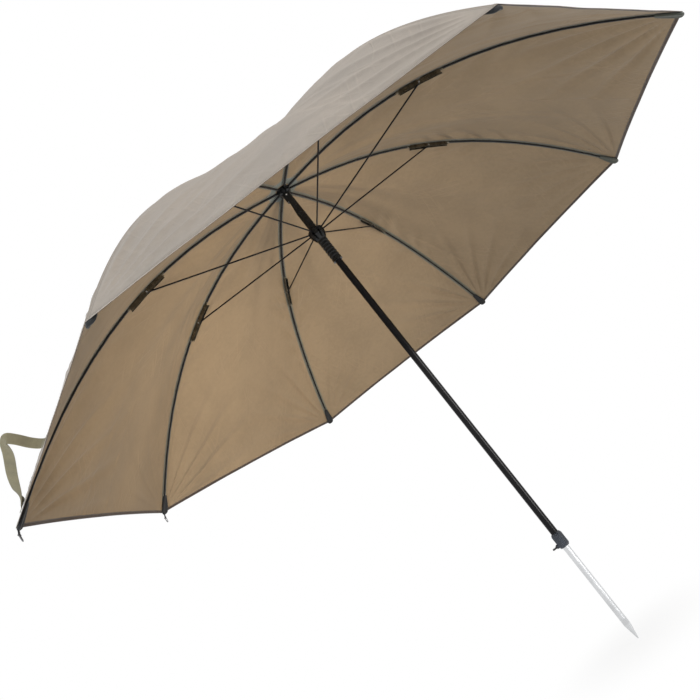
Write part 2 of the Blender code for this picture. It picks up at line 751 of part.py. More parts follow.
def outer_rib_mesh():
    """Rod from the knuckle to the canopy's corner, with its bracket. Its origin is the rivet."""
    path = outer_rib_path()
    rod = tube_through("outer_rib", path, outer_rib_radii(len(path)))
    bracket = channel("bracket", OUTER_CHANNEL_HALF_WIDTH, outer_slope(), True)
    reach = OUTER_CHANNEL_HALF_WIDTH + OVERRUN
    hole = bar("hole", (0.0, -reach, 0.0), (0.0, reach, 0.0), RIVET_BORE)
    return cut(joined(bracket, rod), hole)


def stretcher_mesh():
    """Rod from the knuckle down to the runner, with an eye at each end. Its origin is the rivet."""
    end = RUNNER_PIVOT - KNUCKLE
    rod = tube_through("stretcher", [Vector((0.0, 0.0, 0.0)), end], [STRETCHER_RADIUS] * 2)
    eye = bar(
        "eye", (0.0, -STRETCHER_EYE_HALF_WIDTH, 0.0), (0.0, STRETCHER_EYE_HALF_WIDTH, 0.0),
        STRETCHER_EYE_RADIUS,
    )
    runner_eye = bar(
        "eye", (end.x, -RUNNER_EYE_HALF_WIDTH, end.z), (end.x, RUNNER_EYE_HALF_WIDTH, end.z),
        RUNNER_EYE_RADIUS,
    )
    reach = STRETCHER_EYE_HALF_WIDTH + OVERRUN
    hole = bar("hole", (0.0, -reach, 0.0), (0.0, reach, 0.0), RIVET_BORE)
    runner_hole = bar("hole", (end.x, -reach, end.z), (end.x, reach, end.z), RUNNER_EYE_BORE)
    return cut(joined(rod, eye, runner_eye), hole, runner_hole)


# Rib end pockets and guy rings


def pocket_blank():
    """The pocket's outside, bent down at its sides like the cloth. The rib's end is the origin."""
    bm = bmesh.new()
    rings = []
    rib_end = TIP_RADIUS - RIB_END_SETBACK
    fall = math.tan(RIB_ANGLE / 2) * math.sin(TIP_SLOPE)
    for along, width_share, thickness_share in POCKET_STATION_SHARES:
        radius = rib_end + min(0.0, along) * POCKET_LENGTH * math.cos(TIP_SLOPE)
        nose = max(0.0, along) * POCKET_NOSE
        ahead = Vector((math.cos(TIP_SLOPE), 0.0, -math.sin(TIP_SLOPE))) * nose
        ring = []
        for step in range(POCKET_SIDES):
            angle = 2 * math.pi * (step + 0.5) / POCKET_SIDES
            aside = POCKET_HALF_WIDTH * width_share * math.cos(angle)
            rise = POCKET_THICKNESS / 2 * thickness_share * math.sin(angle) - fall * abs(aside)
            middle = rib_point(radius, rise) - rib_point(rib_end) + ahead
            ring.append(bm.verts.new(middle + SIDEWAYS * aside))
        rings.append(ring)
    loft(bm, rings)
    return mesh_from(bm, "pocket")


def tab_eye_place(twist):
    """Where the guy ring's bar turns, seen from the rib's end."""
    slope = math.radians(TAB_SLOPE_DEGREES)
    nose = POCKET_NOSE - TAB_ROOT
    start = Vector((nose * math.cos(TIP_SLOPE), 0.0, -nose * math.sin(TIP_SLOPE)))
    down = Vector((TAB_LENGTH * math.cos(slope), 0.0, -TAB_LENGTH * math.sin(slope)))
    return start + Matrix.Rotation(twist, 3, "Z") @ down


def tab_mesh(twist):
    """Webbing tab that folds round the guy ring's bar, about the bar's place as origin."""
    slope = math.radians(TAB_SLOPE_DEGREES)
    half = TAB_THICKNESS / 2
    strip = box("tab", (-TAB_LENGTH, -TAB_WIDTH / 2, -half), (0.0, TAB_WIDTH / 2, half))
    strip.transform(Matrix.Rotation(slope, 4, "Y"))
    fold = TAB_WIDTH / 2 + WELD
    eye = bar("eye", (0.0, -fold, 0.0), (0.0, fold, 0.0), TAB_EYE_RADIUS)
    hole = bar("hole", (0.0, -TAB_WIDTH, 0.0), (0.0, TAB_WIDTH, 0.0), RING_BORE)
    return moved(cut(joined(strip, eye), hole), Matrix.Rotation(twist, 4, "Z"))


def pocket_mesh(twist=None):
    """Pocket on the rib's end, with a ring's tab where twist gives its turn. Its origin is the rivet."""
    path = outer_rib_path()
    end = rib_point(TIP_RADIUS - RIB_END_SETBACK) - KNUCKLE
    body = moved(pocket_blank(), Matrix.Translation(end))
    if twist is not None:
        tab = moved(tab_mesh(twist), Matrix.Translation(end + tab_eye_place(twist)))
        body = joined(body, tab)
    bores = [radius + GAP for radius in outer_rib_radii(len(path))]
    bottom = path[-1] + (path[-1] - path[-2]).normalized() * GAP
    return cut(body, tube_through("socket", [*path[:-1], bottom], bores))


def ring_mesh():
    """D-shaped wire ring that hangs from its straight bar, whose middle is the origin."""
    half = RING_WIDTH / 2
    straight = RING_LENGTH - half
    points = [Vector((0.0, half, 0.0)), Vector((0.0, half, -straight))]
    for step in range(1, RING_ARC_STEPS):
        angle = math.pi * step / RING_ARC_STEPS
        points.append(Vector((0.0, half * math.cos(angle), -straight - half * math.sin(angle))))
    points += [Vector((0.0, -half, -straight)), Vector((0.0, -half, 0.0))]
    bm = bmesh.new()
    rings = []
    for index, point in enumerate(points):
        along = (points[(index + 1) % len(points)] - points[index - 1]).normalized()
        across = Vector((1.0, 0.0, 0.0))
        side = along.cross(across)
        ring = []
        for step in range(RING_WIRE_SIDES):
            angle = 2 * math.pi * step / RING_WIRE_SIDES
            reach = RING_WIRE_RADIUS * (across * math.cos(angle) + side * math.sin(angle))
            ring.append(bm.verts.new(point + reach))
        rings.append(ring)
    loft(bm, rings, closed=True)
    return mesh_from(bm, "guy_ring")


# Canopy cloth


def cloth_point(radius, share):
    """Underside of the cloth over one rib; share runs from -0.5 to 0.5 between the middles of its panels.

    Lines from rib to rib at one radius are straight, apart from the panel's sag.
    """
    rib_side = abs(share)
    reach = min(1.0, max(0.0, (radius - CAP_RADIUS) / CLOTH_LIFT_REACH))
    free = reach * reach * (3.0 - 2.0 * reach)
    lift = CLOTH_HUB_LIFT * (1.0 - free)
    on_rib = rib_point(radius, CLOTH_RISE + lift)
    swing = math.copysign(RIB_ANGLE, share)
    neighbour = Matrix.Rotation(swing, 3, "Z") @ on_rib
    point = on_rib.lerp(neighbour, rib_side)
    middle = 4.0 * rib_side * (1.0 - rib_side)
    hollow = PANEL_SAG * middle ** PANEL_SAG_POWER * free
    hollow *= math.sin(math.pi * min(1.0, radius / TIP_RADIUS))
    slope = rib_slope(radius)
    inward = Vector((math.sin(slope), 0.0, math.cos(slope)))
    inward = Matrix.Rotation(swing * rib_side, 3, "Z") @ inward
    return point - hollow * inward


def cloth_normal(radius, share):
    """The way out through the cloth. On the rib, where two panels meet, it lies in the rib's plane."""
    if abs(share) < SLOPE_PROBE:
        slope = rib_slope(radius)
        return Vector((math.sin(slope), 0.0, math.cos(slope)))
    along = cloth_point(radius + SLOPE_PROBE, share) - cloth_point(radius, share)
    step = math.copysign(SLOPE_PROBE, share)
    across = cloth_point(radius, share) - cloth_point(radius, share - step)
    normal = along.cross(across).normalized()
    return normal if normal.z > 0 else -normal


def inner_cloth_shares():
    """Stations from the hub to the knuckles, the first ones under and just past the cap."""
    reach = KNUCKLE_RADIUS - CLOTH_HUB_RADIUS
    first = CAP_RADIUS + CLOTH_LIFT_REACH
    radii = [CLOTH_HUB_RADIUS, CAP_RADIUS, CAP_RADIUS + CLOTH_LIFT_REACH / 2]
    for step in range(INNER_CLOTH_STEPS + 1):
        radii.append(first + (KNUCKLE_RADIUS - first) * step / INNER_CLOTH_STEPS)
    return [(radius - CLOTH_HUB_RADIUS) / reach for radius in radii]


def outer_cloth_shares():
    return [step / OUTER_CLOTH_STEPS for step in range(OUTER_CLOTH_STEPS + 1)]


def cloth_mesh(name, inner_edge, outer_edge, shares, origin, hemmed):
    """One rib's share of the canopy between two radii. The hem is hollowed between the ribs."""
    steps = len(shares) - 1
    bm = bmesh.new()
    half = len(CLOTH_ROW_SHARES) - 1
    under, over = [], []
    for lateral in range(-half, half + 1):
        share = math.copysign(0.5 * CLOTH_ROW_SHARES[abs(lateral)], lateral)
        middle = 4.0 * abs(share) * (1.0 - abs(share))
        end = outer_edge - (HEM_SCALLOP * middle if hemmed else 0.0)
        low_row, high_row = [], []
        for way in shares:
            radius = inner_edge + (end - inner_edge) * way
            trim = GAP / 2 / (radius * math.sin(RIB_ANGLE))
            used = math.copysign(min(abs(share), 0.5 - trim), share)
            point = cloth_point(radius, used)
            low_row.append(bm.verts.new(point - origin))
            high_row.append(bm.verts.new(point + CLOTH_THICKNESS * cloth_normal(radius, used) - origin))
        under.append(low_row)
        over.append(high_row)
    for row in range(2 * half):
        for step in range(steps):
            for sheet in (under, over):
                corners = (sheet[row][step], sheet[row][step + 1])
                bm.faces.new((*corners, sheet[row + 1][step + 1], sheet[row + 1][step]))
    border = [(row, 0) for row in range(2 * half)]
    border += [(2 * half, step) for step in range(steps)]
    border += [(row, steps) for row in range(2 * half, 0, -1)]
    border += [(0, step) for step in range(steps, 0, -1)]
    for index, (row, step) in enumerate(border):
        last_row, last_step = border[index - 1]
        bm.faces.new((
            under[last_row][last_step], under[row][step], over[row][step], over[last_row][last_step],
        ))
    return mesh_from(bm, name)


# Tie strap


def strap_station(share, standing, twist):
    """The strap's middle and its width's direction over the cloth beside the first rib's end."""
    radius = TIP_RADIUS - STRAP_HEM_GAP - HEM_SCALLOP * 4.0 * share * (1.0 - share)
    normal = cloth_normal(radius, share)
    up_slope = (cloth_point(radius - SLOPE_PROBE, share) - cloth_point(radius, share)).normalized()
    clear = CLOTH_THICKNESS + GAP + STRAP_THICKNESS / 2 + standing * STRAP_REACH
    angle = math.radians(STRAP_TWIST_DEGREES) * twist
    middle = cloth_point(radius, share) + clear * normal
    return middle, up_slope * math.cos(angle) + normal * math.sin(angle)


def smooth_stations(stations, steps):
    """More stations on a smooth line through the given ones."""
    last = len(stations) - 1
    smooth = []
    for index in range(last):
        near = [stations[min(last, max(0, place))] for place in range(index - 1, index + 3)]
        for step in range(steps):
            t = step / steps
            pull = (
                -t * (1 - t) ** 2 / 2, (2 - 5 * t ** 2 + 3 * t ** 3) / 2,
                (t + 4 * t ** 2 - 3 * t ** 3) / 2, -t ** 2 * (1 - t) / 2,
            )
            columns = zip(*near)
            smooth.append([sum(a * b for a, b in zip(values, pull)) for values in columns])
    return [*smooth, stations[last]]


def strap_mesh():
    """A band of webbing sewn down at both ends, which stands off the cloth in one long loop."""
    places = []
    for share, standing, twist in smooth_stations(STRAP_STATION_SHARES, STRAP_STEPS):
        places.append(strap_station(share, max(0.0, standing), max(0.0, twist)))
    last = len(places) - 1
    bm = bmesh.new()
    rings = []
    for index, (middle, width) in enumerate(places):
        along = (places[min(index + 1, last)][0] - places[max(index - 1, 0)][0]).normalized()
        across = (width - along * width.dot(along)).normalized() * STRAP_WIDTH / 2
        face = along.cross(across).normalized() * STRAP_THICKNESS / 2
        corners = (across + face, face - across, -across - face, across - face)
        rings.append([bm.verts.new(middle + corner - KNUCKLE) for corner in corners])
    loft(bm, rings)
    return mesh_from(bm, "tie_strap")


def build():
    clear_scene()
    black_metal = make_material("black_steel", *BLACK_STEEL)
    black_glass = make_material("black_glass_fibre", *BLACK_GLASS_FIBRE)
    black_moulding = make_material("black_moulding", *BLACK_MOULDING)
    grey_moulding = make_material("blue_grey_moulding", *BLUE_GREY_MOULDING)
    bright_metal = make_material("bright_steel", *BRIGHT_STEEL)
    black_webbing = make_material("black_webbing", *BLACK_WEBBING)
    olive_webbing = make_material("olive_webbing", *OLIVE_WEBBING)
    cloth = make_material("canopy_cloth", *CANOPY_CLOTH)

    place("lower_pole", lower_pole_mesh(), bright_metal)
    place("upper_pole", upper_pole_mesh(), black_metal)
    place("height_collar", collar_mesh(), grey_moulding, smooth=False)
    place(
        "thumbscrew", thumbscrew_mesh(), black_moulding, location=(0.0, 0.0, SCREW_HEIGHT),
        turn=math.radians(SCREW_DEGREES),
    )

    head = make_empty("head", location=(0.0, 0.0, HUB_HEIGHT))
    place("hub", hub_mesh(), black_moulding, head)
    place("hub_wire", wire_ring("hub_wire", HUB_WIRE_RADIUS), bright_metal, head)
    place(
        "hub_pin", hub_pin_mesh(), bright_metal, head, location=(0.0, 0.0, -HUB_PIN_DROP),
        turn=math.radians(HUB_PIN_DEGREES),
    )
    place("top_cap", cap_mesh(), black_moulding, head)
    place("runner", runner_mesh(), black_moulding, head)

    inner_rib = inner_rib_mesh()
    outer_rib = outer_rib_mesh()
    stretcher = stretcher_mesh()
    pocket = pocket_mesh()
    split = KNUCKLE_RADIUS
    inner_cloth = cloth_mesh(
        "inner_cloth", CLOTH_HUB_RADIUS, split - GAP / 2, inner_cloth_shares(), HUB_PIVOT, False,
    )
    outer_cloth = cloth_mesh(
        "outer_cloth", split + GAP / 2, TIP_RADIUS, outer_cloth_shares(), KNUCKLE, True,
    )
    ring = ring_mesh()
    rib_end = rib_point(TIP_RADIUS - RIB_END_SETBACK) - KNUCKLE
    for number, turn in enumerate(rib_angles(), start=1):
        pivot = Matrix.Rotation(turn, 3, "Z") @ HUB_PIVOT
        arm = make_empty(f"arm_{number}", head, pivot, turn)
        elbow = make_empty(f"elbow_{number}", arm, KNUCKLE - HUB_PIVOT)
        place(f"inner_rib_{number}", inner_rib, black_glass, arm)
        place(f"inner_canopy_{number}", inner_cloth, cloth, arm)
        place(f"outer_rib_{number}", outer_rib, black_glass, elbow)
        place(f"outer_canopy_{number}", outer_cloth, cloth, elbow)
        place(f"stretcher_{number}", stretcher, black_metal, elbow)
        if number in RINGED_RIB_TWISTS:
            twist = math.radians(RINGED_RIB_TWISTS[number])
            place(f"rib_pocket_{number}", pocket_mesh(twist), black_webbing, elbow)
            place(
                f"guy_ring_{number}", ring.copy(), bright_metal, elbow,
                location=rib_end + tab_eye_place(twist), turn=twist,
            )
        else:
            place(f"rib_pocket_{number}", pocket, black_webbing, elbow)
        if number == STRAPPED_RIB:
            place("tie_strap", strap_mesh(), olive_webbing, elbow)


build()
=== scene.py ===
"""Fishing umbrella, dressed: cloth, webbing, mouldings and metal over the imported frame.

Lengths are in metres in the frame's own axes: the ground point is the origin and +Z runs up the pole.
A panel is the cloth between one rib and the next, counted anticlockwise from above. Each rib carries
half of the panel on either side of it, in an inner piece up to the bracket and an outer one past it.
"""

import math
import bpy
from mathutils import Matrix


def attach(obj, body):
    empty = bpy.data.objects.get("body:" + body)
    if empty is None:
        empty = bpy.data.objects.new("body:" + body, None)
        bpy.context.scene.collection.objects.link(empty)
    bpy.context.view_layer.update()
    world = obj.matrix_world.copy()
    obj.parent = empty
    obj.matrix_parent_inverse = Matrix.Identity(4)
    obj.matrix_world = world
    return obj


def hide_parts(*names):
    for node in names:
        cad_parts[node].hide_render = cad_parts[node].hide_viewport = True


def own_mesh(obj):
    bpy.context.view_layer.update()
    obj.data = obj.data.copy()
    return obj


bl_info = {
    "name": "Fishing Umbrella Looks",
    "version": (1, 0, 0),
    "blender": (4, 5, 0),
    "location": "3D View > Sidebar > Umbrella",
    "description": "Dresses the frame of a fishing umbrella and sets it on a pale stage",
    "category": "Add Mesh",
}

import bmesh
import bpy
import numpy as np
from bpy.props import FloatProperty, FloatVectorProperty, IntProperty, PointerProperty
from bpy.types import NodeSocket, Operator, Panel, PropertyGroup
from mathutils import Matrix, Vector

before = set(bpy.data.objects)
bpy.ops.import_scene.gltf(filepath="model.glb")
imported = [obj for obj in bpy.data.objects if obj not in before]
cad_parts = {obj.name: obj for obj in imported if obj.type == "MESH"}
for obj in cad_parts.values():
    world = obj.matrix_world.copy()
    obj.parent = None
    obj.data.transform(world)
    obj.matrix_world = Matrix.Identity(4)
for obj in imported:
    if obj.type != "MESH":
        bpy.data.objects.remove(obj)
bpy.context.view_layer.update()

# The frame's own sizes
RIB_COUNT = 8
RIB_ANGLE = 2 * math.pi / RIB_COUNT
FIRST_RIB = math.radians(-157.5)
TIP_RADIUS = 1.130
CANOPY_DROP = 0.500
RIB_BEND = 2.4
HUB_HEIGHT = 1.667
KNUCKLE_RADIUS = 0.547
KNUCKLE_DEPTH = 0.0065
RIB_END_SETBACK = 0.004
CLOTH_RISE = 0.0054
CLOTH_HUB_LIFT = 0.0029
CLOTH_HUB_RADIUS = 0.0065
CAP_RADIUS = 0.030
CLOTH_LIFT_REACH = 0.060
PANEL_SAG = 0.028
PANEL_SAG_POWER = 2.0
HEM_SCALLOP = 0.006
TIP_SLOPE = math.atan(RIB_BEND * CANOPY_DROP / TIP_RADIUS)
RINGED_RIBS = {1: 0.0, 8: math.radians(55.0)}
STRAPPED_RIB = 1


def clamp(value, low=0.0, high=1.0):
    return np.minimum(high, np.maximum(low, value))


def ease(value):
    """0 to 1 with level ends."""
    t = clamp(value)
    return t * t * (3 - 2 * t)


def unit(vectors):
    """The same directions with a length of one."""
    return vectors / np.linalg.norm(vectors, axis=-1, keepdims=True)


def pairs(first, second):
    """Two coordinates for each vertex of a grid."""
    return np.stack(np.broadcast_arrays(first, second), axis=-1)


def placed(name, data):
    """A new object in the scene."""
    made = bpy.data.objects.new(name, data)
    bpy.context.scene.collection.objects.link(made)
    return made


# The open canopy's surface, in the upright plane of one rib and across to the next


def rib_slope(radius):
    steepness = RIB_BEND * CANOPY_DROP / TIP_RADIUS
    return np.arctan(steepness * (radius / TIP_RADIUS) ** (RIB_BEND - 1))


def rib_line(radius, rise=0.0):
    """Points on the open rib that lies along +X, moved square to it by rise."""
    slope = rib_slope(radius)
    drop = CANOPY_DROP * (radius / TIP_RADIUS) ** RIB_BEND
    x = radius + rise * np.sin(slope)
    z = HUB_HEIGHT - drop + rise * np.cos(slope)
    return np.stack([x, np.zeros_like(x), z], axis=-1)


def turned(points, angle):
    c, s = math.cos(angle), math.sin(angle)
    x, y, z = points[..., 0], points[..., 1], points[..., 2]
    return np.stack([x * c - y * s, x * s + y * c, z], axis=-1)


def rib_turn(rib):
    return FIRST_RIB + RIB_ANGLE * (rib - 1)


def falling(slope):
    """The direction that leads out and down at a slope, in the upright plane of the rib along +X."""
    return np.array([math.cos(slope), 0.0, -math.sin(slope)])


def chord(radius):
    """Length of the straight line across a panel."""
    return 2 * radius * math.sin(RIB_ANGLE / 2)


def middleness(share):
    """0 on the ribs and 1 half-way between them."""
    return 4 * share * (1 - share)


def hem_radius(share):
    return TIP_RADIUS - HEM_SCALLOP * middleness(share)


def beside_rib(radius, share):
    """Distance from the nearer rib."""
    return chord(radius) * np.minimum(share, 1 - share)


def from_hem(radius, share):
    """Distance from the hem, along the cloth."""
    return (hem_radius(share) - radius) / np.cos(rib_slope(radius))


def smooth_panel(radius, share):
    """The underside of a taut panel and the way out through it; share runs from 0 to 1 between its ribs."""
    slope = rib_slope(radius)
    free = ease((radius - CAP_RADIUS) / CLOTH_LIFT_REACH)
    rise = CLOTH_RISE + CLOTH_HUB_LIFT * (1 - free)
    on_rib = rib_line(radius, rise)
    x, z = on_rib[..., 0], on_rib[..., 2]
    turn = share * RIB_ANGLE
    out = np.stack([np.sin(slope) * np.cos(turn), np.sin(slope) * np.sin(turn), np.cos(slope)], axis=-1)
    point = np.stack([
        x * (1 - share + share * math.cos(RIB_ANGLE)), x * share * math.sin(RIB_ANGLE), z,
    ], axis=-1)
    hollow = PANEL_SAG * middleness(share) ** PANEL_SAG_POWER * free
    hollow = hollow * np.sin(math.pi * np.minimum(1.0, radius / TIP_RADIUS))
    return point - hollow[..., None] * out, out


# Fold strengths beside the first and the second rib of each panel
TIP_FANS = [
    (1.3, 0.9), (1.0, 0.8), (1.1, 1.0), (2.2, 1.3), (1.1, 1.6), (1.8, 0.9), (1.2, 1.8), (0.3, 1.9),
]
BRACKET_GATHERS = [
    (0.5, 0.5), (0.4, 0.4), (0.6, 0.5), (0.9, 2.3), (1.0, 0.9), (0.9, 1.1), (1.3, 0.8), (0.7, 0.7),
]

# A fan of folds: its rays' spacing in radians and sharpness, the level of the cloth between them, and
# where it begins, is deepest and ends
FAN_SPACING = 0.33
FAN_SHARPNESS = 1.4
FAN_LEVEL = 0.40
FAN_START = 0.02
FAN_DEEPEST = 0.17
FAN_END = 0.60

# Gathers: their middle, how far they run towards the hub and the hem, their width, spacing and slant
GATHER_MIDDLE = 0.64
GATHER_INWARD = 0.10
GATHER_OUTWARD = 0.20
GATHER_WIDTH = 0.065
GATHER_SPACING = 0.083
GATHER_SLANT = 0.55

# How far folds wander from an even spacing, in radians
WANDER = 0.8

# The cloth is flat this near a rib, its folds grow over the next stretch, and the hem presses them down
FLAT_BY_RIB = 0.006
GROWTH_PAST_RIB = 0.030
PRESSED_BY_HEM = 0.035
HEM_PRESS = 0.8

# Distance to either side at which the cloth's slope is measured
SLOPE_STEP = 0.0015


def panel_creases(panel, settings):
    """Long pulled creases of one panel: start, direction, length, width and height in its flat cloth."""
    chance = np.random.RandomState(410 + panel)
    creases = []
    for index in range(settings.crease_count):
        side = 1 if index % 2 else -1
        along = chance.uniform(0.42, 1.02)
        across = side * chance.uniform(0.05, 0.40)
        slant = math.radians(side * chance.uniform(8.0, 42.0))
        creases.append((
            along, across, slant, chance.uniform(0.10, 0.34), chance.uniform(0.006, 0.013),
            chance.uniform(0.4, 1.0) * settings.crease_height,
        ))
    return creases


def bell(value):
    return np.exp(-value ** 2)


def tip_fans(panel, radius, share, phase):
    """Folds that spread like rays from the two ribs' ends, as a share of their height."""
    beside, second = beside_rib(radius, share), share >= 0.5
    to_tip = np.maximum(TIP_RADIUS - radius, 0) / np.cos(rib_slope(radius))
    reach = np.hypot(beside, to_tip)
    bearing = np.arctan2(beside, to_tip + 1e-6)
    start = np.where(second, phase[0], phase[1])
    ray = np.sin(2 * math.pi * bearing / FAN_SPACING + start + WANDER * np.sin(6 * reach + start))
    rays = np.exp(FAN_SHARPNESS * (ray - 1)) - FAN_LEVEL
    swell = (reach / FAN_DEEPEST) * np.exp(1 - reach / FAN_DEEPEST)
    swell = swell * ease((FAN_END - reach) / 0.35) * ease((reach - FAN_START) / 0.10)
    near_first, near_second = TIP_FANS[panel - 1]
    return np.where(second, near_second, near_first) * swell * rays


def bracket_gathers(panel, radius, share, phase):
    """Short folds across the ribs by the brackets, as a share of their height."""
    beside, second = beside_rib(radius, share), share >= 0.5
    past = radius - GATHER_MIDDLE
    nearness = bell(past / np.where(past > 0, GATHER_OUTWARD, GATHER_INWARD)) * bell(beside / GATHER_WIDTH)
    start = np.where(second, phase[2], phase[3])
    turns = 2 * math.pi * (radius + GATHER_SLANT * beside) / GATHER_SPACING
    folds = np.sin(turns + start + WANDER * np.sin(23 * radius))
    near_first, near_second = BRACKET_GATHERS[panel - 1]
    return np.where(second, near_second, near_first) * nearness * folds


def slow_waves(radius, share, phase):
    """Slow unevenness of the panel's middle, as a share of its height."""
    waves = np.sin(2 * math.pi * (2.6 * share + 0.22 * np.sin(3.1 * radius + phase[4])) + phase[5])
    waves += 0.6 * np.sin(2 * math.pi * (4.7 * share - 0.9 * radius) + phase[6])
    waves += 0.45 * np.sin(2 * math.pi * (1.9 * radius + 1.1 * share) + phase[7])
    return middleness(share) * ease((radius - 0.06) / 0.25) * waves


def fold_depth(panel, radius, share, settings):
    """How far the cloth stands out of the taut panel; it is nothing along the ribs."""
    chance = np.random.RandomState(90 + panel)
    phase = chance.uniform(0, 2 * math.pi, 12)
    depth = settings.tip_fold_height * tip_fans(panel, radius, share, phase)
    depth += settings.gather_height * bracket_gathers(panel, radius, share, phase)
    depth += settings.wave_height * slow_waves(radius, share, phase)
    across = chord(radius) * (share - 0.5)
    for start, aside, slant, length, width, height in panel_creases(panel, settings):
        dx, dy = radius - start, across - aside
        run = dx * math.cos(slant) + dy * math.sin(slant)
        off = dy * math.cos(slant) - dx * math.sin(slant)
        ridge = bell(off / width) - 0.45 * bell((off - 1.6 * width) / width)
        depth += height * np.exp(-(run / length) ** 4) * ridge
    free = ease((beside_rib(radius, share) - FLAT_BY_RIB) / GROWTH_PAST_RIB)
    return depth * free * (1 - HEM_PRESS * bell(from_hem(radius, share) / PRESSED_BY_HEM))


def cloth_at(panel, radius, share, settings):
    """The underside of the folded cloth and the way out, in the frame's axes."""
    point, out = smooth_panel(radius, share)
    point = point + fold_depth(panel, radius, share, settings)[..., None] * out
    return turned(point, rib_turn(panel)), turned(out, rib_turn(panel))


def cloth_normal(panel, radius, share, settings):
    """The way out of the folded cloth, square to it."""
    low, high = np.maximum(radius - SLOPE_STEP, CLOTH_HUB_RADIUS / 2), radius + SLOPE_STEP
    along = cloth_at(panel, high, share, settings)[0] - cloth_at(panel, low, share, settings)[0]
    aside = np.minimum(0.5, SLOPE_STEP / chord(radius))
    left, right = np.maximum(share - aside, 0), np.minimum(share + aside, 1)
    across = cloth_at(panel, radius, right, settings)[0] - cloth_at(panel, radius, left, settings)[0]
    return unit(np.cross(along, across))


# Mesh making


class Skin:
    """Collects vertices, faces, face slots and two cloth coordinates, then makes one mesh."""

    def __init__(self):
        self.points, self.normals, self.places = [], [], []
        self.faces, self.slots = [], []
        self.count = 0

    def grid(self, points, normals, places, slot, closed=False):
        """Adds a sheet of rows and columns that faces the way its normals do; returns its vertex numbers."""
        rows, columns = points.shape[:2]
        numbers = self.count + np.arange(rows * columns).reshape(rows, columns)
        self.points.append(points.reshape(-1, 3))
        self.normals.append(normals.reshape(-1, 3))
        self.places.append(places.reshape(-1, 2))
        self.count += rows * columns
        ring = np.concatenate([numbers, numbers[:, :1]], axis=1) if closed else numbers
        quads = np.stack([ring[:-1, :-1], ring[1:, :-1], ring[1:, 1:], ring[:-1, 1:]], axis=-1).reshape(-1, 4)
        self.add_faces(quads if self.faces_out(quads) else quads[:, [0, 3, 2, 1]], slot)
        return numbers

    def faces_out(self, quads):
        """Whether faces face the way that the normals of their first corners do."""
        points, normals = np.concatenate(self.points), np.concatenate(self.normals)
        first, second, _, fourth = points[quads.T]
        return np.sum(np.cross(second - first, fourth - first) * normals[quads[:, 0]]) > 0

    def add_faces(self, quads, slot):
        self.faces.append(quads)
        self.slots.append(np.full(len(quads), slot, np.int32))

    def strip(self, first, second, slot):
        """Faces between two lines of vertices, facing the way the first line's normals do."""
        quads = np.stack([first[:-1], first[1:], second[1:], second[:-1]], axis=-1)
        self.add_faces(quads if self.faces_out(quads) else quads[:, ::-1], slot)

    def rim(self, lower, upper, slot):
        """Closes the edge between two grids of the same shape."""
        loop = [lower[0, :-1], lower[:-1, -1], lower[-1, :0:-1], lower[:0:-1, 0]]
        over = [upper[0, :-1], upper[:-1, -1], upper[-1, :0:-1], upper[:0:-1, 0]]
        low, high = np.concatenate(loop), np.concatenate(over)
        quads = np.stack([low, np.roll(low, -1), np.roll(high, -1), high], axis=-1)
        self.add_faces(quads, slot)

    def make(self, name, materials):
        points = np.concatenate(self.points)
        mesh = bpy.data.meshes.new(name)
        faces = np.concatenate(self.faces)
        mesh.from_pydata(points.tolist(), [], faces.tolist())
        for material in materials:
            mesh.materials.append(material)
        mesh.polygons.foreach_set("material_index", np.concatenate(self.slots))
        layer = mesh.uv_layers.new(name="cloth")
        corners = np.zeros(len(mesh.loops), np.int32)
        mesh.loops.foreach_get("vertex_index", corners)
        layer.data.foreach_set("uv", np.concatenate(self.places)[corners].astype(np.float32).ravel())
        mesh.shade_smooth()
        mesh.normals_split_custom_set_from_vertices(np.concatenate(self.normals).tolist())
        return placed(name, mesh)


# Finishes


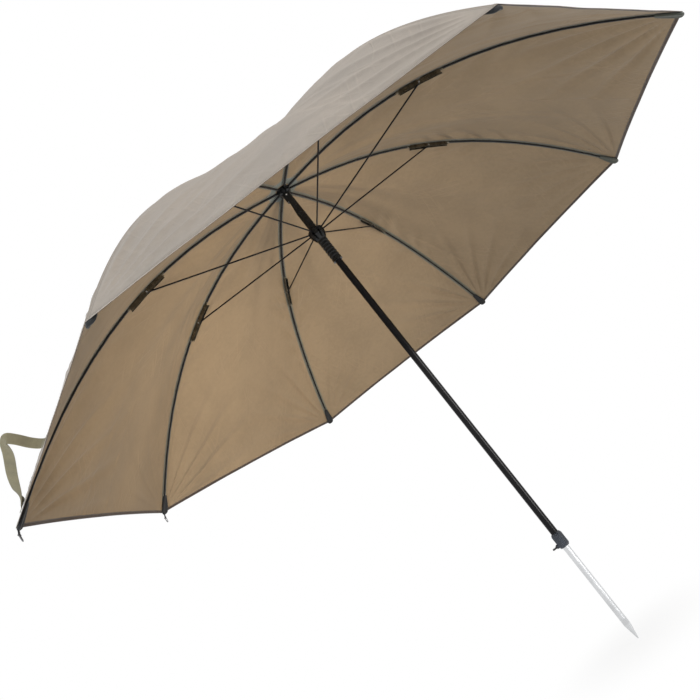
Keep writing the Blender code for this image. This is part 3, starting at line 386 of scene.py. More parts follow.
class Net:
    """Adds nodes to one tree and joins them."""

    def __init__(self, tree):
        self.tree = tree

    def node(self, kind, values=(), **settings):
        """A new node; an input is joined to a socket and set to anything else."""
        made = self.tree.nodes.new(kind)
        for name, value in settings.items():
            setattr(made, name, value)
        for place, value in dict(values).items():
            if isinstance(value, NodeSocket):
                self.tree.links.new(value, made.inputs[place])
            else:
                made.inputs[place].default_value = value
        return made

    def feed(self, node, **sockets):
        """Joins sockets to the node's inputs of the same names, with spaces for underscores."""
        for label, socket in sockets.items():
            self.tree.links.new(socket, node.inputs[label.replace("_", " ")])

    def sum(self, kind, first, second=0.0, third=0.0):
        values = {0: first, 1: second, 2: third}
        return self.node("ShaderNodeMath", values, operation=kind).outputs[0]

    def times(self, first, second):
        return self.sum("MULTIPLY", first, second)

    def plus(self, first, second):
        return self.sum("ADD", first, second)

    def minus(self, first, second):
        return self.sum("SUBTRACT", first, second)

    def off(self, value, centre):
        """How far a value is from a centre, either way."""
        return self.sum("ABSOLUTE", self.minus(value, centre))

    def highest(self, *values):
        """The highest of several values."""
        top = values[0]
        for value in values[1:]:
            top = self.sum("MAXIMUM", top, value)
        return top

    def span(self, value, low, high, start=0.0, end=1.0, smooth=True):
        values = {0: value, 1: low, 2: high, 3: start, 4: end}
        kind = "SMOOTHSTEP" if smooth else "LINEAR"
        return self.node("ShaderNodeMapRange", values, interpolation_type=kind).outputs[0]

    def blend(self, share, first, second):
        """A mix of two colours."""
        return self.node("ShaderNodeMix", {0: share, 6: first, 7: second}, data_type="RGBA").outputs[2]

    def stretched(self, place, stretch):
        return self.node("ShaderNodeVectorMath", {0: place, 1: stretch}, operation="MULTIPLY").outputs[0]

    def noise(self, place, scale, detail=3.0, roughness=0.55):
        values = {"Vector": place, "Scale": scale, "Detail": detail, "Roughness": roughness}
        return self.node("ShaderNodeTexNoise", values, noise_type="FBM", normalize=True).outputs[0]

    def group(self, name, **values):
        """The outputs of a shared group with its own values."""
        return self.node("ShaderNodeGroup", values, node_tree=shared(name)).outputs

    def split(self, place):
        """The three parts of a place."""
        return self.node("ShaderNodeSeparateXYZ", {0: place}).outputs

    def distance(self, first, second):
        """The distance that two offsets at right angles give."""
        return self.sum("SQRT", self.plus(self.times(first, first), self.times(second, second)))

    def cloth_place(self):
        """The two cloth coordinates."""
        return self.node("ShaderNodeUVMap", uv_map="cloth").outputs[0]

    def object_place(self):
        """The place in the object's own axes."""
        return self.node("ShaderNodeTexCoord").outputs["Object"]

    def bump(self, height, distance, strength=1.0, after=None):
        values = {"Height": height, "Distance": distance, "Strength": strength}
        if after is not None:
            values["Normal"] = after
        return self.node("ShaderNodeBump", values).outputs[0]


# Groups used by more than one material. Each takes a net and the group's inputs and returns its outputs.


def weave(net, given):
    """Crossed threads of a given pitch, as a height and as light and dark threads."""
    turns = net.sum("DIVIDE", 2 * math.pi, given["Pitch"])
    warp, weft = [net.sum("SINE", net.times(part, turns)) for part in net.split(given["Place"])[:2]]
    crossed = net.span(net.times(warp, weft), -1.0, 1.0, smooth=False)
    slubs = net.noise(net.stretched(given["Place"], (0.05, 1.0, 1.0)), 900.0, 2.0)
    height = net.plus(crossed, net.times(net.minus(slubs, 0.5), given["Slub"]))
    return {"Height": height, "Thread": net.span(height, 0.1, 0.9)}


def uneven_colour(net, given):
    """Broad clouds and fine specks between two colours."""
    broad = net.noise(given["Place"], given["Scale"], 4.0)
    fine = net.noise(given["Place"], net.times(given["Scale"], 14.0), 3.0, 0.6)
    mask = net.span(net.sum("MULTIPLY_ADD", fine, 0.35, net.times(broad, 0.8)), 0.38, 0.78)
    return {"Colour": net.blend(mask, given["Dark"], given["Light"]), "Mask": mask}


def fine_creases(net, given):
    """Pulled creases that run along the second cloth coordinate: a height, and their lines as the mask for a
    painted highlight.
    """
    lines = []
    for slant, scale in ((24.0, 9.0), (-31.0, 12.0)):
        values = {"Vector": given["Place"], "Rotation": (0.0, 0.0, math.radians(slant))}
        place = net.stretched(net.node("ShaderNodeMapping", values).outputs[0], (2.4, 0.22, 1.0))
        wave = net.noise(place, net.times(given["Scale"], scale), 0.6, 0.3)
        lines.append(net.span(net.off(wave, 0.5), 0.0, 0.040, 1.0, 0.0))
    patch = net.noise(given["Place"], 5.0, 2.0)
    both = net.times(net.highest(*lines), net.span(patch, 0.42, 0.62))
    place = net.stretched(given["Place"], (1.6, 0.5, 1.0))
    broad = net.noise(place, net.times(given["Scale"], 11.0), 1.5, 0.4)
    return {"Height": net.sum("MULTIPLY_ADD", both, 0.35, net.times(broad, 0.7)), "Shade": both}


def stitches(net, given):
    """A row of stitches along a line at a given distance from an edge."""
    off = net.sum("DIVIDE", net.off(given["Across"], given["Line"]), given["Width"])
    step = net.sum("FRACT", net.sum("DIVIDE", given["Along"], given["Pitch"]))
    dash = net.span(net.off(step, 0.5), 0.30, 0.38, 1.0, 0.0)
    thread = net.times(net.span(off, 0.5, 1.0, 1.0, 0.0), dash)
    return {"Thread": thread, "Pull": net.span(off, 0.5, 3.5, 1.0, 0.0)}


def grain_and_scratches(net, given):
    """Fine grain with long scratches, for metal and mouldings."""
    grain = net.noise(given["Place"], given["Scale"], 4.0, 0.6)
    drawn = net.stretched(given["Place"], given["Stretch"])
    marks = net.noise(drawn, net.times(given["Scale"], 0.6), 5.0, 0.6)
    patch = net.span(net.noise(given["Place"], 22.0), 0.45, 0.65)
    scratch = net.times(net.span(net.off(marks, 0.5), 0.0, 0.02, 1.0, 0.0), patch)
    wear_and_crease_highlight = net.sum("MULTIPLY_ADD", patch, 0.5, net.times(grain, 0.5))
    rough = net.span(wear_and_crease_highlight, 0.2, 0.8, given["Smooth"], given["Rough"], smooth=False)
    height = net.sum("MULTIPLY_ADD", scratch, -0.4, grain)
    return {"Height": height, "Roughness": rough, "Scratch": scratch}


FLOAT, COLOUR, VECTOR = "NodeSocketFloat", "NodeSocketColor", "NodeSocketVector"
GROUPS = {
    "plain weave": (weave, {"Place": VECTOR, "Pitch": FLOAT, "Slub": FLOAT}),
    "uneven colour": (uneven_colour, {"Place": VECTOR, "Scale": FLOAT, "Light": COLOUR, "Dark": COLOUR}),
    "fine creases": (fine_creases, {"Place": VECTOR, "Scale": FLOAT}),
    "stitch row": (
        stitches, {"Across": FLOAT, "Along": FLOAT, "Line": FLOAT, "Pitch": FLOAT, "Width": FLOAT},
    ),
    "grain and scratches": (
        grain_and_scratches,
        {"Place": VECTOR, "Scale": FLOAT, "Stretch": VECTOR, "Smooth": FLOAT, "Rough": FLOAT},
    ),
}


def shared(name):
    """The shader node group of that name, made the first time that it is asked for."""
    if name not in bpy.data.node_groups:
        fill, inputs = GROUPS[name]
        tree = bpy.data.node_groups.new(name, "ShaderNodeTree")
        net = Net(tree)
        for label, kind in inputs.items():
            tree.interface.new_socket(name=label, in_out="INPUT", socket_type=kind)
        outputs = fill(net, tree.nodes.new("NodeGroupInput").outputs)
        for label, socket in outputs.items():
            kind = COLOUR if socket.type == "RGBA" else FLOAT
            tree.interface.new_socket(name=label, in_out="OUTPUT", socket_type=kind)
        net.feed(tree.nodes.new("NodeGroupOutput"), **outputs)
    return bpy.data.node_groups[name]


def finish(name, **constants):
    """A new material, its net and its shader with the constant values set on the shader itself."""
    made = bpy.data.materials.new(name)
    made.use_nodes = True
    shader = made.node_tree.nodes["Principled BSDF"]
    for label, value in constants.items():
        shader.inputs[label.replace("_", " ")].default_value = value
    return made, Net(made.node_tree), shader


def rgb(colour):
    """A colour with full cover."""
    return (*colour, 1.0)


def shade(colour, factor):
    """A lighter or darker shade of a colour."""
    return rgb([min(1.0, part * factor) for part in colour])


def clouds_of(net, place, scale, colour, light, dark):
    """Uneven colour between a lighter and a darker shade of one colour."""
    light, dark = shade(colour, light), shade(colour, dark)
    return net.group("uneven colour", Place=place, Scale=scale, Light=light, Dark=dark)


# Rows of stitches: their distances from the rib and from the hem, a stitch's length and its thread's width
SEAM_ROWS = (0.0035, 0.0085)
HEM_ROWS = (0.0028, 0.0082)
STITCH_PITCH = 0.0035
STITCH_WIDTH = 0.0007


def stitch_row(net, across, along, line):
    return net.group(
        "stitch row", Across=across, Along=along, Line=line, Pitch=STITCH_PITCH, Width=STITCH_WIDTH,
    )


def cloth_finish(name, colour, thread, roughness):
    """Coated canopy cloth: colour clouds, fine creases with a painted highlight along their lines, weave, and
    stitch rows by the ribs and the hem, with painted shade beside the ribs and in the stitches' puckers.
    """
    made, net, shader = finish(name, Specular_IOR_Level=0.15, Sheen_Weight=0.08, Sheen_Roughness=0.5)
    place = net.cloth_place()
    by_rib, by_hem, _ = net.split(place)
    clouds = clouds_of(net, net.object_place(), 5.0, colour, 1.08, 0.90)
    creases = net.group("fine creases", Place=place, Scale=1.0)
    weave = net.group("plain weave", Place=place, Pitch=0.0009, Slub=0.5)
    rows = [stitch_row(net, by_rib, by_hem, line) for line in SEAM_ROWS]
    rows += [stitch_row(net, by_hem, by_rib, line) for line in HEM_ROWS]
    threads = net.highest(*[row["Thread"] for row in rows])
    pull = net.highest(*[row["Pull"] for row in rows])
    # Painted highlight: the fine crease lines are painted lighter.
    wear_and_crease_highlight = net.blend(net.times(creases["Shade"], 0.22), clouds["Colour"], shade(colour, 1.30))
    woven = net.blend(net.times(weave["Thread"], 0.10), wear_and_crease_highlight, shade(colour, 0.72))
    # Painted shade: darker within 11 mm of the rib and in the stitches' puckers.
    seam = net.highest(net.span(by_rib, 0.0, 0.011, 0.30, 0.0), net.times(pull, 0.25))
    seam_shaded = net.blend(seam, woven, shade(colour, 0.62))
    low = net.bump(creases["Height"], 0.0035, 0.55)
    fine = net.bump(weave["Height"], 0.00012, 0.35, low)
    net.feed(
        shader, Base_Color=net.blend(net.times(threads, 0.8), seam_shaded, rgb(thread)),
        Roughness=net.span(clouds["Mask"], 0.0, 1.0, roughness - 0.05, roughness + 0.06, smooth=False),
        Normal=net.bump(net.minus(threads, pull), 0.0004, 0.6, fine),
    )
    return made


def tape_finish(name, colour, lines, pitch, stitch=(0.30, 0.28, 0.24)):
    """Woven tape with stitch rows; the first cloth coordinate runs along it and the second across."""
    made, net, shader = finish(name, Specular_IOR_Level=0.3, Sheen_Weight=0.2, Sheen_Roughness=0.5)
    place = net.cloth_place()
    along, across, _ = net.split(place)
    clouds = clouds_of(net, place, 30.0, colour, 1.18, 0.80)
    weave = net.group("plain weave", Place=place, Pitch=pitch, Slub=0.3)
    sewn = net.blend(net.times(weave["Thread"], 0.35), clouds["Colour"], shade(colour, 0.60))
    height = weave["Height"]
    for line in lines:
        row = stitch_row(net, across, along, line)
        sewn = net.blend(net.times(row["Thread"], 0.75), sewn, rgb(stitch))
        height = net.plus(net.minus(height, net.times(row["Pull"], 0.8)), row["Thread"])
    net.feed(
        shader, Base_Color=sewn, Roughness=net.span(clouds["Mask"], 0.0, 1.0, 0.72, 0.88),
        Normal=net.bump(height, 0.0003, 0.6),
    )
    return made


def worn_finish(name, colour, surface, clouds, scratches, bump, **constants):
    """A hard surface with fine grain, clouds and scratches.

    The clouds are given by their scale and two shades, the scratches by their strength and shade, and
    the bump by its depth and strength.
    """
    made, net, shader = finish(name, **constants)
    place = net.object_place()
    grain = net.group("grain and scratches", Place=place, **surface)
    scale, light, dark = clouds
    strength, factor = scratches
    base = clouds_of(net, place, scale, colour, light, dark)["Colour"]
    marked = net.blend(net.times(grain["Scratch"], strength), base, shade(colour, factor))
    net.feed(shader, Base_Color=marked, Roughness=grain["Roughness"], Normal=net.bump(grain["Height"], *bump))
    return made


def moulded_finish(name, colour, smooth, rough, grain=500.0, depth=0.00008):
    """Moulded plastic: slight clouds, fine grain and a few dull scratches."""
    surface = dict(Scale=grain, Stretch=(1.0, 1.0, 0.15), Smooth=smooth, Rough=rough)
    return worn_finish(
        name, colour, surface, (40.0, 1.25, 0.80), (0.15, 2.2), (depth, 0.5), Specular_IOR_Level=0.32,
    )


def metal_finish(name, colour, smooth, rough, metallic, stretch=(1.0, 1.0, 0.03), depth=0.00004):
    """Drawn or lacquered metal with fine lengthwise marks."""
    surface = dict(Scale=900.0, Stretch=stretch, Smooth=smooth, Rough=rough)
    return worn_finish(
        name, colour, surface, (14.0, 1.08, 0.88), (0.12, 1.5), (depth, 0.4),
        Metallic=metallic, Specular_IOR_Level=0.5 if metallic else 0.14,
    )


# Reach of a bracket along the rib and radius of its rivet, each from the start to the end of its soft edge
BRACKET_EDGE = (0.0735, 0.0745)
RIVET_EDGE = (0.0024, 0.0032)


def rib_finish(name, rod, bracket, rivet):
    """Black rod with a bright-edged steel bracket round the knuckle and a bare rivet in its middle."""
    made, net, shader = finish(name, Specular_IOR_Level=0.28)
    place = net.object_place()
    x, y, z = net.split(place)
    knuckle_x, _, knuckle_z = rib_line(np.array(KNUCKLE_RADIUS), -KNUCKLE_DEPTH).tolist()
    along = net.minus(net.distance(x, y), knuckle_x)
    away = net.distance(along, net.minus(z, knuckle_z))
    on_bracket = net.span(net.sum("ABSOLUTE", along), *BRACKET_EDGE, 1.0, 0.0)
    on_rivet = net.span(away, *RIVET_EDGE, 1.0, 0.0)
    surface = net.group(
        "grain and scratches", Place=place, Scale=700.0, Stretch=(0.2, 0.2, 0.2), Smooth=0.26, Rough=0.44,
    )
    clouds = clouds_of(net, place, 60.0, bracket, 1.5, 0.6)
    rod_colour = net.blend(net.times(surface["Scratch"], 0.3), rgb(rod), shade(rod, 4.0))
    steel = net.blend(on_bracket, rod_colour, clouds["Colour"])
    net.feed(
        shader, Base_Color=net.blend(on_rivet, steel, rgb(rivet)),
        Metallic=net.highest(net.times(on_bracket, 0.85), on_rivet), Roughness=surface["Roughness"],
        Normal=net.bump(surface["Height"], 0.00005, 0.4),
    )
    return made


# Settings


def length(name, description, default):
    return FloatProperty(
        name=name, description=description, default=default, min=0.0, unit="LENGTH", precision=5,
    )


def power(name, description, default):
    return FloatProperty(name=name, description=description, default=default, subtype="POWER")


def share_kept(name, description, default):
    return FloatProperty(
        name=name, description=description, default=default, min=0.01, max=1.0, subtype="FACTOR",
    )


def colour(name, description, default):
    return FloatVectorProperty(
        name=name, description=description, default=default, size=3, min=0.0, max=1.0, subtype="COLOR",
    )


class CanopySettings(PropertyGroup):
    thickness: length("Thickness", "Thickness of the canopy cloth", 0.0008)
    tip_fold_height: length("Tip folds", "Height of the folds pulled in at each rib's end", 0.0055)
    gather_height: length("Bracket gathers", "Height of the gathers beside each bracket", 0.0052)
    wave_height: length("Slow waves", "Height of the slow waves in the middle of a panel", 0.0024)
    crease_height: length("Creases", "Height of the long pulled creases", 0.0016)
    crease_count: IntProperty(name="Crease count", description="Long creases in each panel", default=9, min=0)
    hem_tape: length("Hem tape", "Width of the tape folded over the hem", 0.010)
    seam_tape: length("Seam tape", "Half width of the tape inside along each rib", 0.011)
    outside: colour("Outside", "Colour of the outer face", (0.415, 0.362, 0.310))
    inside: colour("Inside", "Colour of the inner face", (0.300, 0.222, 0.140))
    hem: colour("Hem", "Colour of the hem tape", (0.070, 0.048, 0.036))
    seam: colour("Seam", "Colour of the seam tape", (0.178, 0.172, 0.135))
    patch: colour("Hub patch", "Colour of the patch round the hub", (0.165, 0.185, 0.170))
    thread: colour("Thread", "Colour of the sewing thread", (0.200, 0.170, 0.130))
    inner_keep: share_kept("Inner fold", "Share of its width that an inner piece keeps when folded", 0.13)
    outer_keep: share_kept("Outer fold", "Share of its width that an outer piece keeps when folded", 0.07)


class WebbingSettings(PropertyGroup):
    strap_width: length("Strap width", "Width of the tie strap", 0.025)
    strap_thickness: length("Strap thickness", "Thickness of the tie strap", 0.0015)
    olive: colour("Strap", "Colour of the tie strap", (0.215, 0.186, 0.110))
    black: colour("Rib pockets", "Colour of the rib pockets and their tabs", (0.018, 0.019, 0.020))
    # Painted light: a paler copy of the pocket webbing's colour, for the two pockets on the lit side.
    painted_light_webbing: colour("Lighter pockets", "Colour of the two paler rib pockets", (0.085, 0.092, 0.076))
    pocket_half_width: length("Pocket half width", "Half the width of a rib pocket", 0.013)
    pocket_thickness: length("Pocket thickness", "Thickness of a rib pocket", 0.010)


class HardwareSettings(PropertyGroup):
    lacquer: colour("Pole lacquer", "Colour of the upper pole and the stretchers", (0.006, 0.006, 0.007))
    rod: colour("Rib rods", "Colour of the rib rods", (0.007, 0.007, 0.008))
    bracket: colour("Brackets", "Colour of the knuckle brackets", (0.120, 0.107, 0.080))
    moulding: colour("Mouldings", "Colour of the hub, runner, cap and thumbscrew", (0.007, 0.008, 0.009))
    collar: colour("Collar", "Colour of the height collar", (0.040, 0.047, 0.060))
    steel: colour("Bare steel", "Colour of the lower pole, pin and wire", (0.66, 0.67, 0.68))
    ring: colour("Rings", "Colour of the guy rings", (0.20, 0.20, 0.21))
    edge_round: length("Edge rounding", "Width of the rounding on moulded and pressed edges", 0.0005)


class StageSettings(PropertyGroup):
    floor: colour("Floor", "Colour of the floor", (0.82, 0.82, 0.82))
    sky_level: FloatProperty(name="Sky level", description="Strength of the surrounding light", default=0.36)
    key_level: power("Key level", "Power of the key light", 158.0)
    fill_level: power("Fill level", "Power of the fill light", 38.0)
    strip_level: power("Strip level", "Power of the narrow light for the pole's highlight", 40.0)
    low_level: power("Low level", "Power of the light under the canopy", 5.0)


# Canopy

OUTSIDE, INSIDE, HEM, SEAM, PATCH = range(5)
# Rows and columns of the inner and outer halves, and how they crowd together by the hub and the ribs
INNER_ROWS, OUTER_ROWS = 71, 113
INNER_COLUMNS, OUTER_COLUMNS = 40, 76
CROWDING = 1.12
# Tapes and the hub's patch: how far they are sunk into the cloth, their thickness and their ends
SUNK = 0.0002
TAPE_THICKNESS = 0.00045
PATCH_THICKNESS = 0.0005
PATCH_START, PATCH_END = 0.027, 0.060
SEAM_START, SEAM_STOP = 0.050, TIP_RADIUS - 0.030
SEAM_STRETCH = 1.2
# How far the turned hem stands past the cloth's edge, at its corners and in its middle
HEM_CORNER, HEM_MIDDLE = 0.0008, 0.0010


def half_panel(rib, ahead):
    """The panel that lies ahead of a rib or behind it."""
    return rib if ahead else (rib - 2) % RIB_COUNT + 1


def side_shares(ahead, steps):
    """Shares from the rib to the panel's middle, closer together by the rib."""
    reach = 0.5 * (np.arange(steps + 1) / steps) ** CROWDING
    return reach if ahead else 1 - reach[::-1]


def layer(skin, panel, radius, share, heights, places, slots, settings):
    """A closed layer between two heights over the cloth's underside, with a slot for each face."""
    under, out = cloth_at(panel, radius, share, settings)
    normal = cloth_normal(panel, radius, share, settings)
    lower = skin.grid(under + heights[0] * out, -normal, places, slots[0])
    upper = skin.grid(under + heights[1] * out, normal, places, slots[1])
    skin.rim(lower, upper, slots[1])


def cloth_islands(skin, panel, shares, rows, settings, hemmed, ahead):
    """The two faces of the cloth, its closed edge, and the tapes or the patch sewn to it."""
    share = np.broadcast_to(shares, (len(rows), len(shares)))
    low = KNUCKLE_RADIUS if hemmed else CLOTH_HUB_RADIUS
    end = hem_radius(share) if hemmed else np.full_like(share, KNUCKLE_RADIUS)
    radius = low + (end - low) * rows[:, None]
    places = pairs(beside_rib(radius, share), from_hem(radius, share))
    layer(skin, panel, radius, share, (0.0, settings.thickness), places, (INSIDE, OUTSIDE), settings)
    seam_tape(skin, panel, settings, hemmed, ahead)
    if hemmed:
        hem_tape(skin, panel, shares, settings)
    else:
        hub_patch(skin, panel, settings, ahead)


def seam_tape(skin, panel, settings, hemmed, ahead):
    """Tape along the rib, laid on the inner face."""
    start, stop, steps = (KNUCKLE_RADIUS, SEAM_STOP, 64) if hemmed else (SEAM_START, KNUCKLE_RADIUS, 48)
    aside = np.linspace(0.0, settings.seam_tape, 5)
    if not ahead:
        aside = aside[::-1]
    radius, aside = np.broadcast_arrays(np.linspace(start, stop, steps + 1)[:, None], aside[None, :])
    share = aside / chord(radius)
    share = share if ahead else 1 - share
    places = pairs(radius * SEAM_STRETCH, aside)
    layer(skin, panel, radius, share, (-TAPE_THICKNESS, SUNK), places, (SEAM, SEAM), settings)


def hem_tape(skin, panel, shares, settings):
    """The cloth turned over at the hem outside and the tape sewn under it inside."""
    width, half = settings.hem_tape, settings.thickness / 2
    lift = half + TAPE_THICKNESS
    # Distance in from the hem, height over the cloth's middle, and the way the surface faces in degrees
    turned_over = [
        (width, half, 90), (0.96 * width, lift, 90), (0.72 * width, lift + 0.0003, 90),
        (0.62 * width, lift, 90), (0.30 * width, lift + 0.0003, 90), (0.0, lift, 62),
        (-HEM_CORNER, 0.6 * lift, 30), (-HEM_MIDDLE, 0.0, 0),
    ]
    sewn_under = [
        (-HEM_CORNER, -0.6 * lift, -30), (0.0, -lift, -62), (0.5 * width, -lift - 0.0001, -90),
        (0.96 * width, -lift, -90), (width, -half, -90),
    ]
    grids = []
    for profile, slot in ((turned_over, OUTSIDE), (sewn_under, HEM)):
        share = np.broadcast_to(shares[:, None], (len(shares), len(profile)))
        inset, rise, facing = np.array(profile).T[:, None, :]
        edge = hem_radius(share)
        radius = edge - inset * math.cos(TIP_SLOPE)
        under, out = cloth_at(panel, radius, share, settings)
        normal = cloth_normal(panel, radius, share, settings)
        down = unit(cloth_at(panel, radius + 0.0005, share, settings)[0] - under)
        angle = np.radians(facing)[..., None]
        normals = normal * np.sin(angle) + down * np.cos(angle)
        points = under + (half + rise)[..., None] * out
        grids.append(skin.grid(points, normals, pairs(beside_rib(edge, share), np.abs(inset)), slot))
    over, below = grids
    skin.strip(over[:, -1], below[:, 0], HEM)
    skin.strip(over[:, 0], below[:, -1], OUTSIDE)


def hub_patch(skin, panel, settings, ahead):
    """A reinforcing patch under the cloth, round the hub."""
    radius = np.linspace(PATCH_START, PATCH_END, 7)[:, None]
    radius, share = np.broadcast_arrays(radius, side_shares(ahead, 8)[None, :])
    places = pairs(radius, PATCH_END - radius)
    layer(skin, panel, radius, share, (-PATCH_THICKNESS, SUNK), places, (PATCH, PATCH), settings)


# How much of the fold's direction leads towards the pole, and where the inner pieces' fold line starts
INWARD_FOLD_SHARE = 0.75
FOLD_START = 0.02


def fold_rule(rib, ahead, hemmed):
    """The direction and the fixed point by which a half panel flattens when the ribs fold."""
    start, stop = (KNUCKLE_RADIUS, TIP_RADIUS) if hemmed else (FOLD_START, KNUCKLE_RADIUS)
    low, high = rib_line(np.array(start)), rib_line(np.array(stop))
    halfway = np.array((start + stop) / 2)
    middle = rib_line(halfway, CLOTH_RISE)
    axis = smooth_panel(halfway, np.array(0.5))[0] - middle
    run = unit(high - low)
    axis -= run * float(axis @ run)
    axis = unit(axis * np.array([INWARD_FOLD_SHARE, 1.0 if ahead else -1.0, INWARD_FOLD_SHARE]))
    middle = (middle + (low + high) / 2) / 2
    turn = rib_turn(rib)
    return turned(axis, turn).tolist(), turned(middle, turn).tolist()


class UMBRELLA_OT_canopy(Operator):
    """Sew the eight panels and hang half of each on the rib beside it"""

    bl_idname = "umbrella.canopy"
    bl_label = "Canopy"

    def execute(self, context):
        settings = context.scene.umbrella_canopy
        materials = [
            cloth_finish("canopy_outside", settings.outside, settings.thread, roughness=0.62),
            cloth_finish("canopy_inside", settings.inside, settings.thread, roughness=0.60),
            tape_finish("hem_tape", settings.hem, lines=(0.0085,), pitch=0.0011),
            tape_finish("seam_tape", settings.seam, lines=(0.0095,), pitch=0.0010),
            tape_finish("hub_patch", settings.patch, lines=(0.003,), pitch=0.0012),
        ]
        for rib in range(1, RIB_COUNT + 1):
            for side, ahead in (("behind", False), ("ahead", True)):
                self.half(settings, materials, rib, side, ahead, hemmed=False)
                self.half(settings, materials, rib, side, ahead, hemmed=True)
        return {"FINISHED"}

    def half(self, settings, materials, rib, side, ahead, hemmed):
        """One inner or outer half panel, which rides on its rib."""
        place = "outer" if hemmed else "inner"
        shares = side_shares(ahead, OUTER_COLUMNS if hemmed else INNER_COLUMNS)
        rows = np.linspace(0.0, 1.0, OUTER_ROWS) if hemmed else np.linspace(0.0, 1.0, INNER_ROWS) ** CROWDING
        skin = Skin()
        cloth_islands(skin, half_panel(rib, ahead), shares, rows, settings, hemmed, ahead)
        cloth = skin.make(f"{place}_cloth_{rib}_{side}", materials)
        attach(cloth, f"{place}_{rib}")
        axis, anchor = fold_rule(rib, ahead, hemmed)
        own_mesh(cloth)
        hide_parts(f"{place}_canopy_{rib}")


# Webbing: pockets, ring tabs and the tie strap

# The two pockets on the lit side, whose webbing is painted paler as painted light
PAINTED_LIGHT_POCKETS = (4, 5)
POCKET_LENGTH = 0.060
POCKET_NOSE = 0.011
POCKET_SQUARENESS = 0.8
# Place along a pocket with 0 at the rib's end, and its width and thickness as shares of the settings
POCKET_STATIONS = [
    (-1.00, 0.50, 0.80), (-0.70, 0.72, 0.95), (-0.35, 0.95, 1.00), (-0.05, 1.00, 1.00),
    (0.45, 0.84, 0.92), (0.82, 0.52, 0.70), (1.00, 0.20, 0.36),
]
# The rolled edge of a pocket's mouth: place past the first station, and swell
POCKET_MOUTH = [(0.0, 0.80), (0.0, 1.04), (0.010, 1.10), (0.045, 1.10), (0.060, 1.0)]
TAB_WIDTH = 0.014
TAB_LENGTH = 0.016
TAB_ROOT = 0.004
TAB_SLOPE = math.radians(72.0)
TAB_FOLD_RADIUS = 0.0031
TAB_THICKNESS = 0.0013
# Rows of a tab: place across it and how far its edge is pressed together
TAB_ROWS = [(-0.5, 0.82), (-0.47, 1.0), (-0.2, 1.0), (0.2, 1.0), (0.47, 1.0), (0.5, 0.82)]
STRAP_HEM_GAP = 0.021
STRAP_CLEARANCE = 0.0012
STRAP_REACH = 0.078
# Place of the strap across the panel, how far it stands off the cloth, and its twist in quarter turns
STRAP_STATIONS = [
    (0.470, 0.00, 0.00), (0.445, 0.00, 0.00), (0.425, 0.05, 0.00), (0.413, 0.33, 0.00),
    (0.409, 0.72, 0.05), (0.398, 0.97, 0.35), (0.368, 0.95, 0.80), (0.320, 0.78, 1.00),
    (0.220, 0.53, 1.00), (0.140, 0.27, 0.75), (0.100, 0.10, 0.25), (0.075, 0.00, 0.00),
    (0.045, 0.00, 0.00),
]
# A quarter of the strap's section, across and up, as shares of its half width and half thickness
STRAP_QUARTER = [(-1.0, 0.0), (-0.995, 0.65), (-0.96, 1.0), (-0.80, 1.05), (-0.4, 0.95), (0.0, 0.92)]


def smooth_stations(stations, steps):
    """More stations on a smooth line through the given ones."""
    table = np.array(stations)
    last = len(table) - 1
    rows = []
    for index in range(last):
        near = [table[min(last, max(0, place))] for place in range(index - 1, index + 3)]
        for step in range(steps):
            t = step / steps
            pull = (
                -t * (1 - t) ** 2 / 2, (2 - 5 * t ** 2 + 3 * t ** 3) / 2,
                (t + 4 * t ** 2 - 3 * t ** 3) / 2, -t ** 2 * (1 - t) / 2,
            )
            rows.append(sum(weight * row for weight, row in zip(pull, near)))
    return np.array([*rows, table[last]])


def ring_normals(points):
    """Smooth normals of rows of points, each row a closed ring."""
    ring = np.concatenate([points[:, -1:], points, points[:, :1]], axis=1)
    normal = np.cross(ring[:, 2:] - ring[:, :-2], np.gradient(points, axis=0))
    return normal / np.maximum(np.linalg.norm(normal, axis=-1, keepdims=True), 1e-12)


def squared(wave):
    """A sine or cosine pushed towards its ends, which makes a circle squarer."""
    return np.sign(wave) * np.abs(wave) ** POCKET_SQUARENESS


def pocket_skin(settings, sides=36, steps=6):
    """The pocket over the rib's end, in the frame of the rib along +X, with a rolled mouth."""
    stations = smooth_stations(POCKET_STATIONS, steps)
    rib_end = TIP_RADIUS - RIB_END_SETBACK
    fall = math.tan(RIB_ANGLE / 2) * math.sin(TIP_SLOPE)
    ahead = falling(TIP_SLOPE)
    angles = 2 * math.pi * np.arange(sides) / sides
    place, width, thick = stations[0]
    rows = [(place + past, width * (0.5 + 0.5 * swell), thick * swell * 0.98) for past, swell in POCKET_MOUTH]
    rows += [tuple(row) for row in stations[2:]]
    points = []
    for along, width, thick in rows:
        radius = rib_end + min(0.0, along) * POCKET_LENGTH * math.cos(TIP_SLOPE)
        aside = settings.pocket_half_width * max(0.0, width) * squared(np.cos(angles))
        lift = settings.pocket_thickness / 2 * max(0.0, thick) * squared(np.sin(angles))
        pucker = 1 + 0.035 * np.sin(along * 26.0) * np.abs(np.cos(angles))
        rise = lift * pucker - fall * np.abs(aside)
        ring = rib_line(np.full(sides, radius), rise) + max(0.0, along) * POCKET_NOSE * ahead
        ring[:, 1] = aside
        points.append(ring)
    run = np.array(rows)[:, :1] * POCKET_LENGTH
    return np.array(points), pairs(run, (angles * settings.pocket_half_width)[None, :])


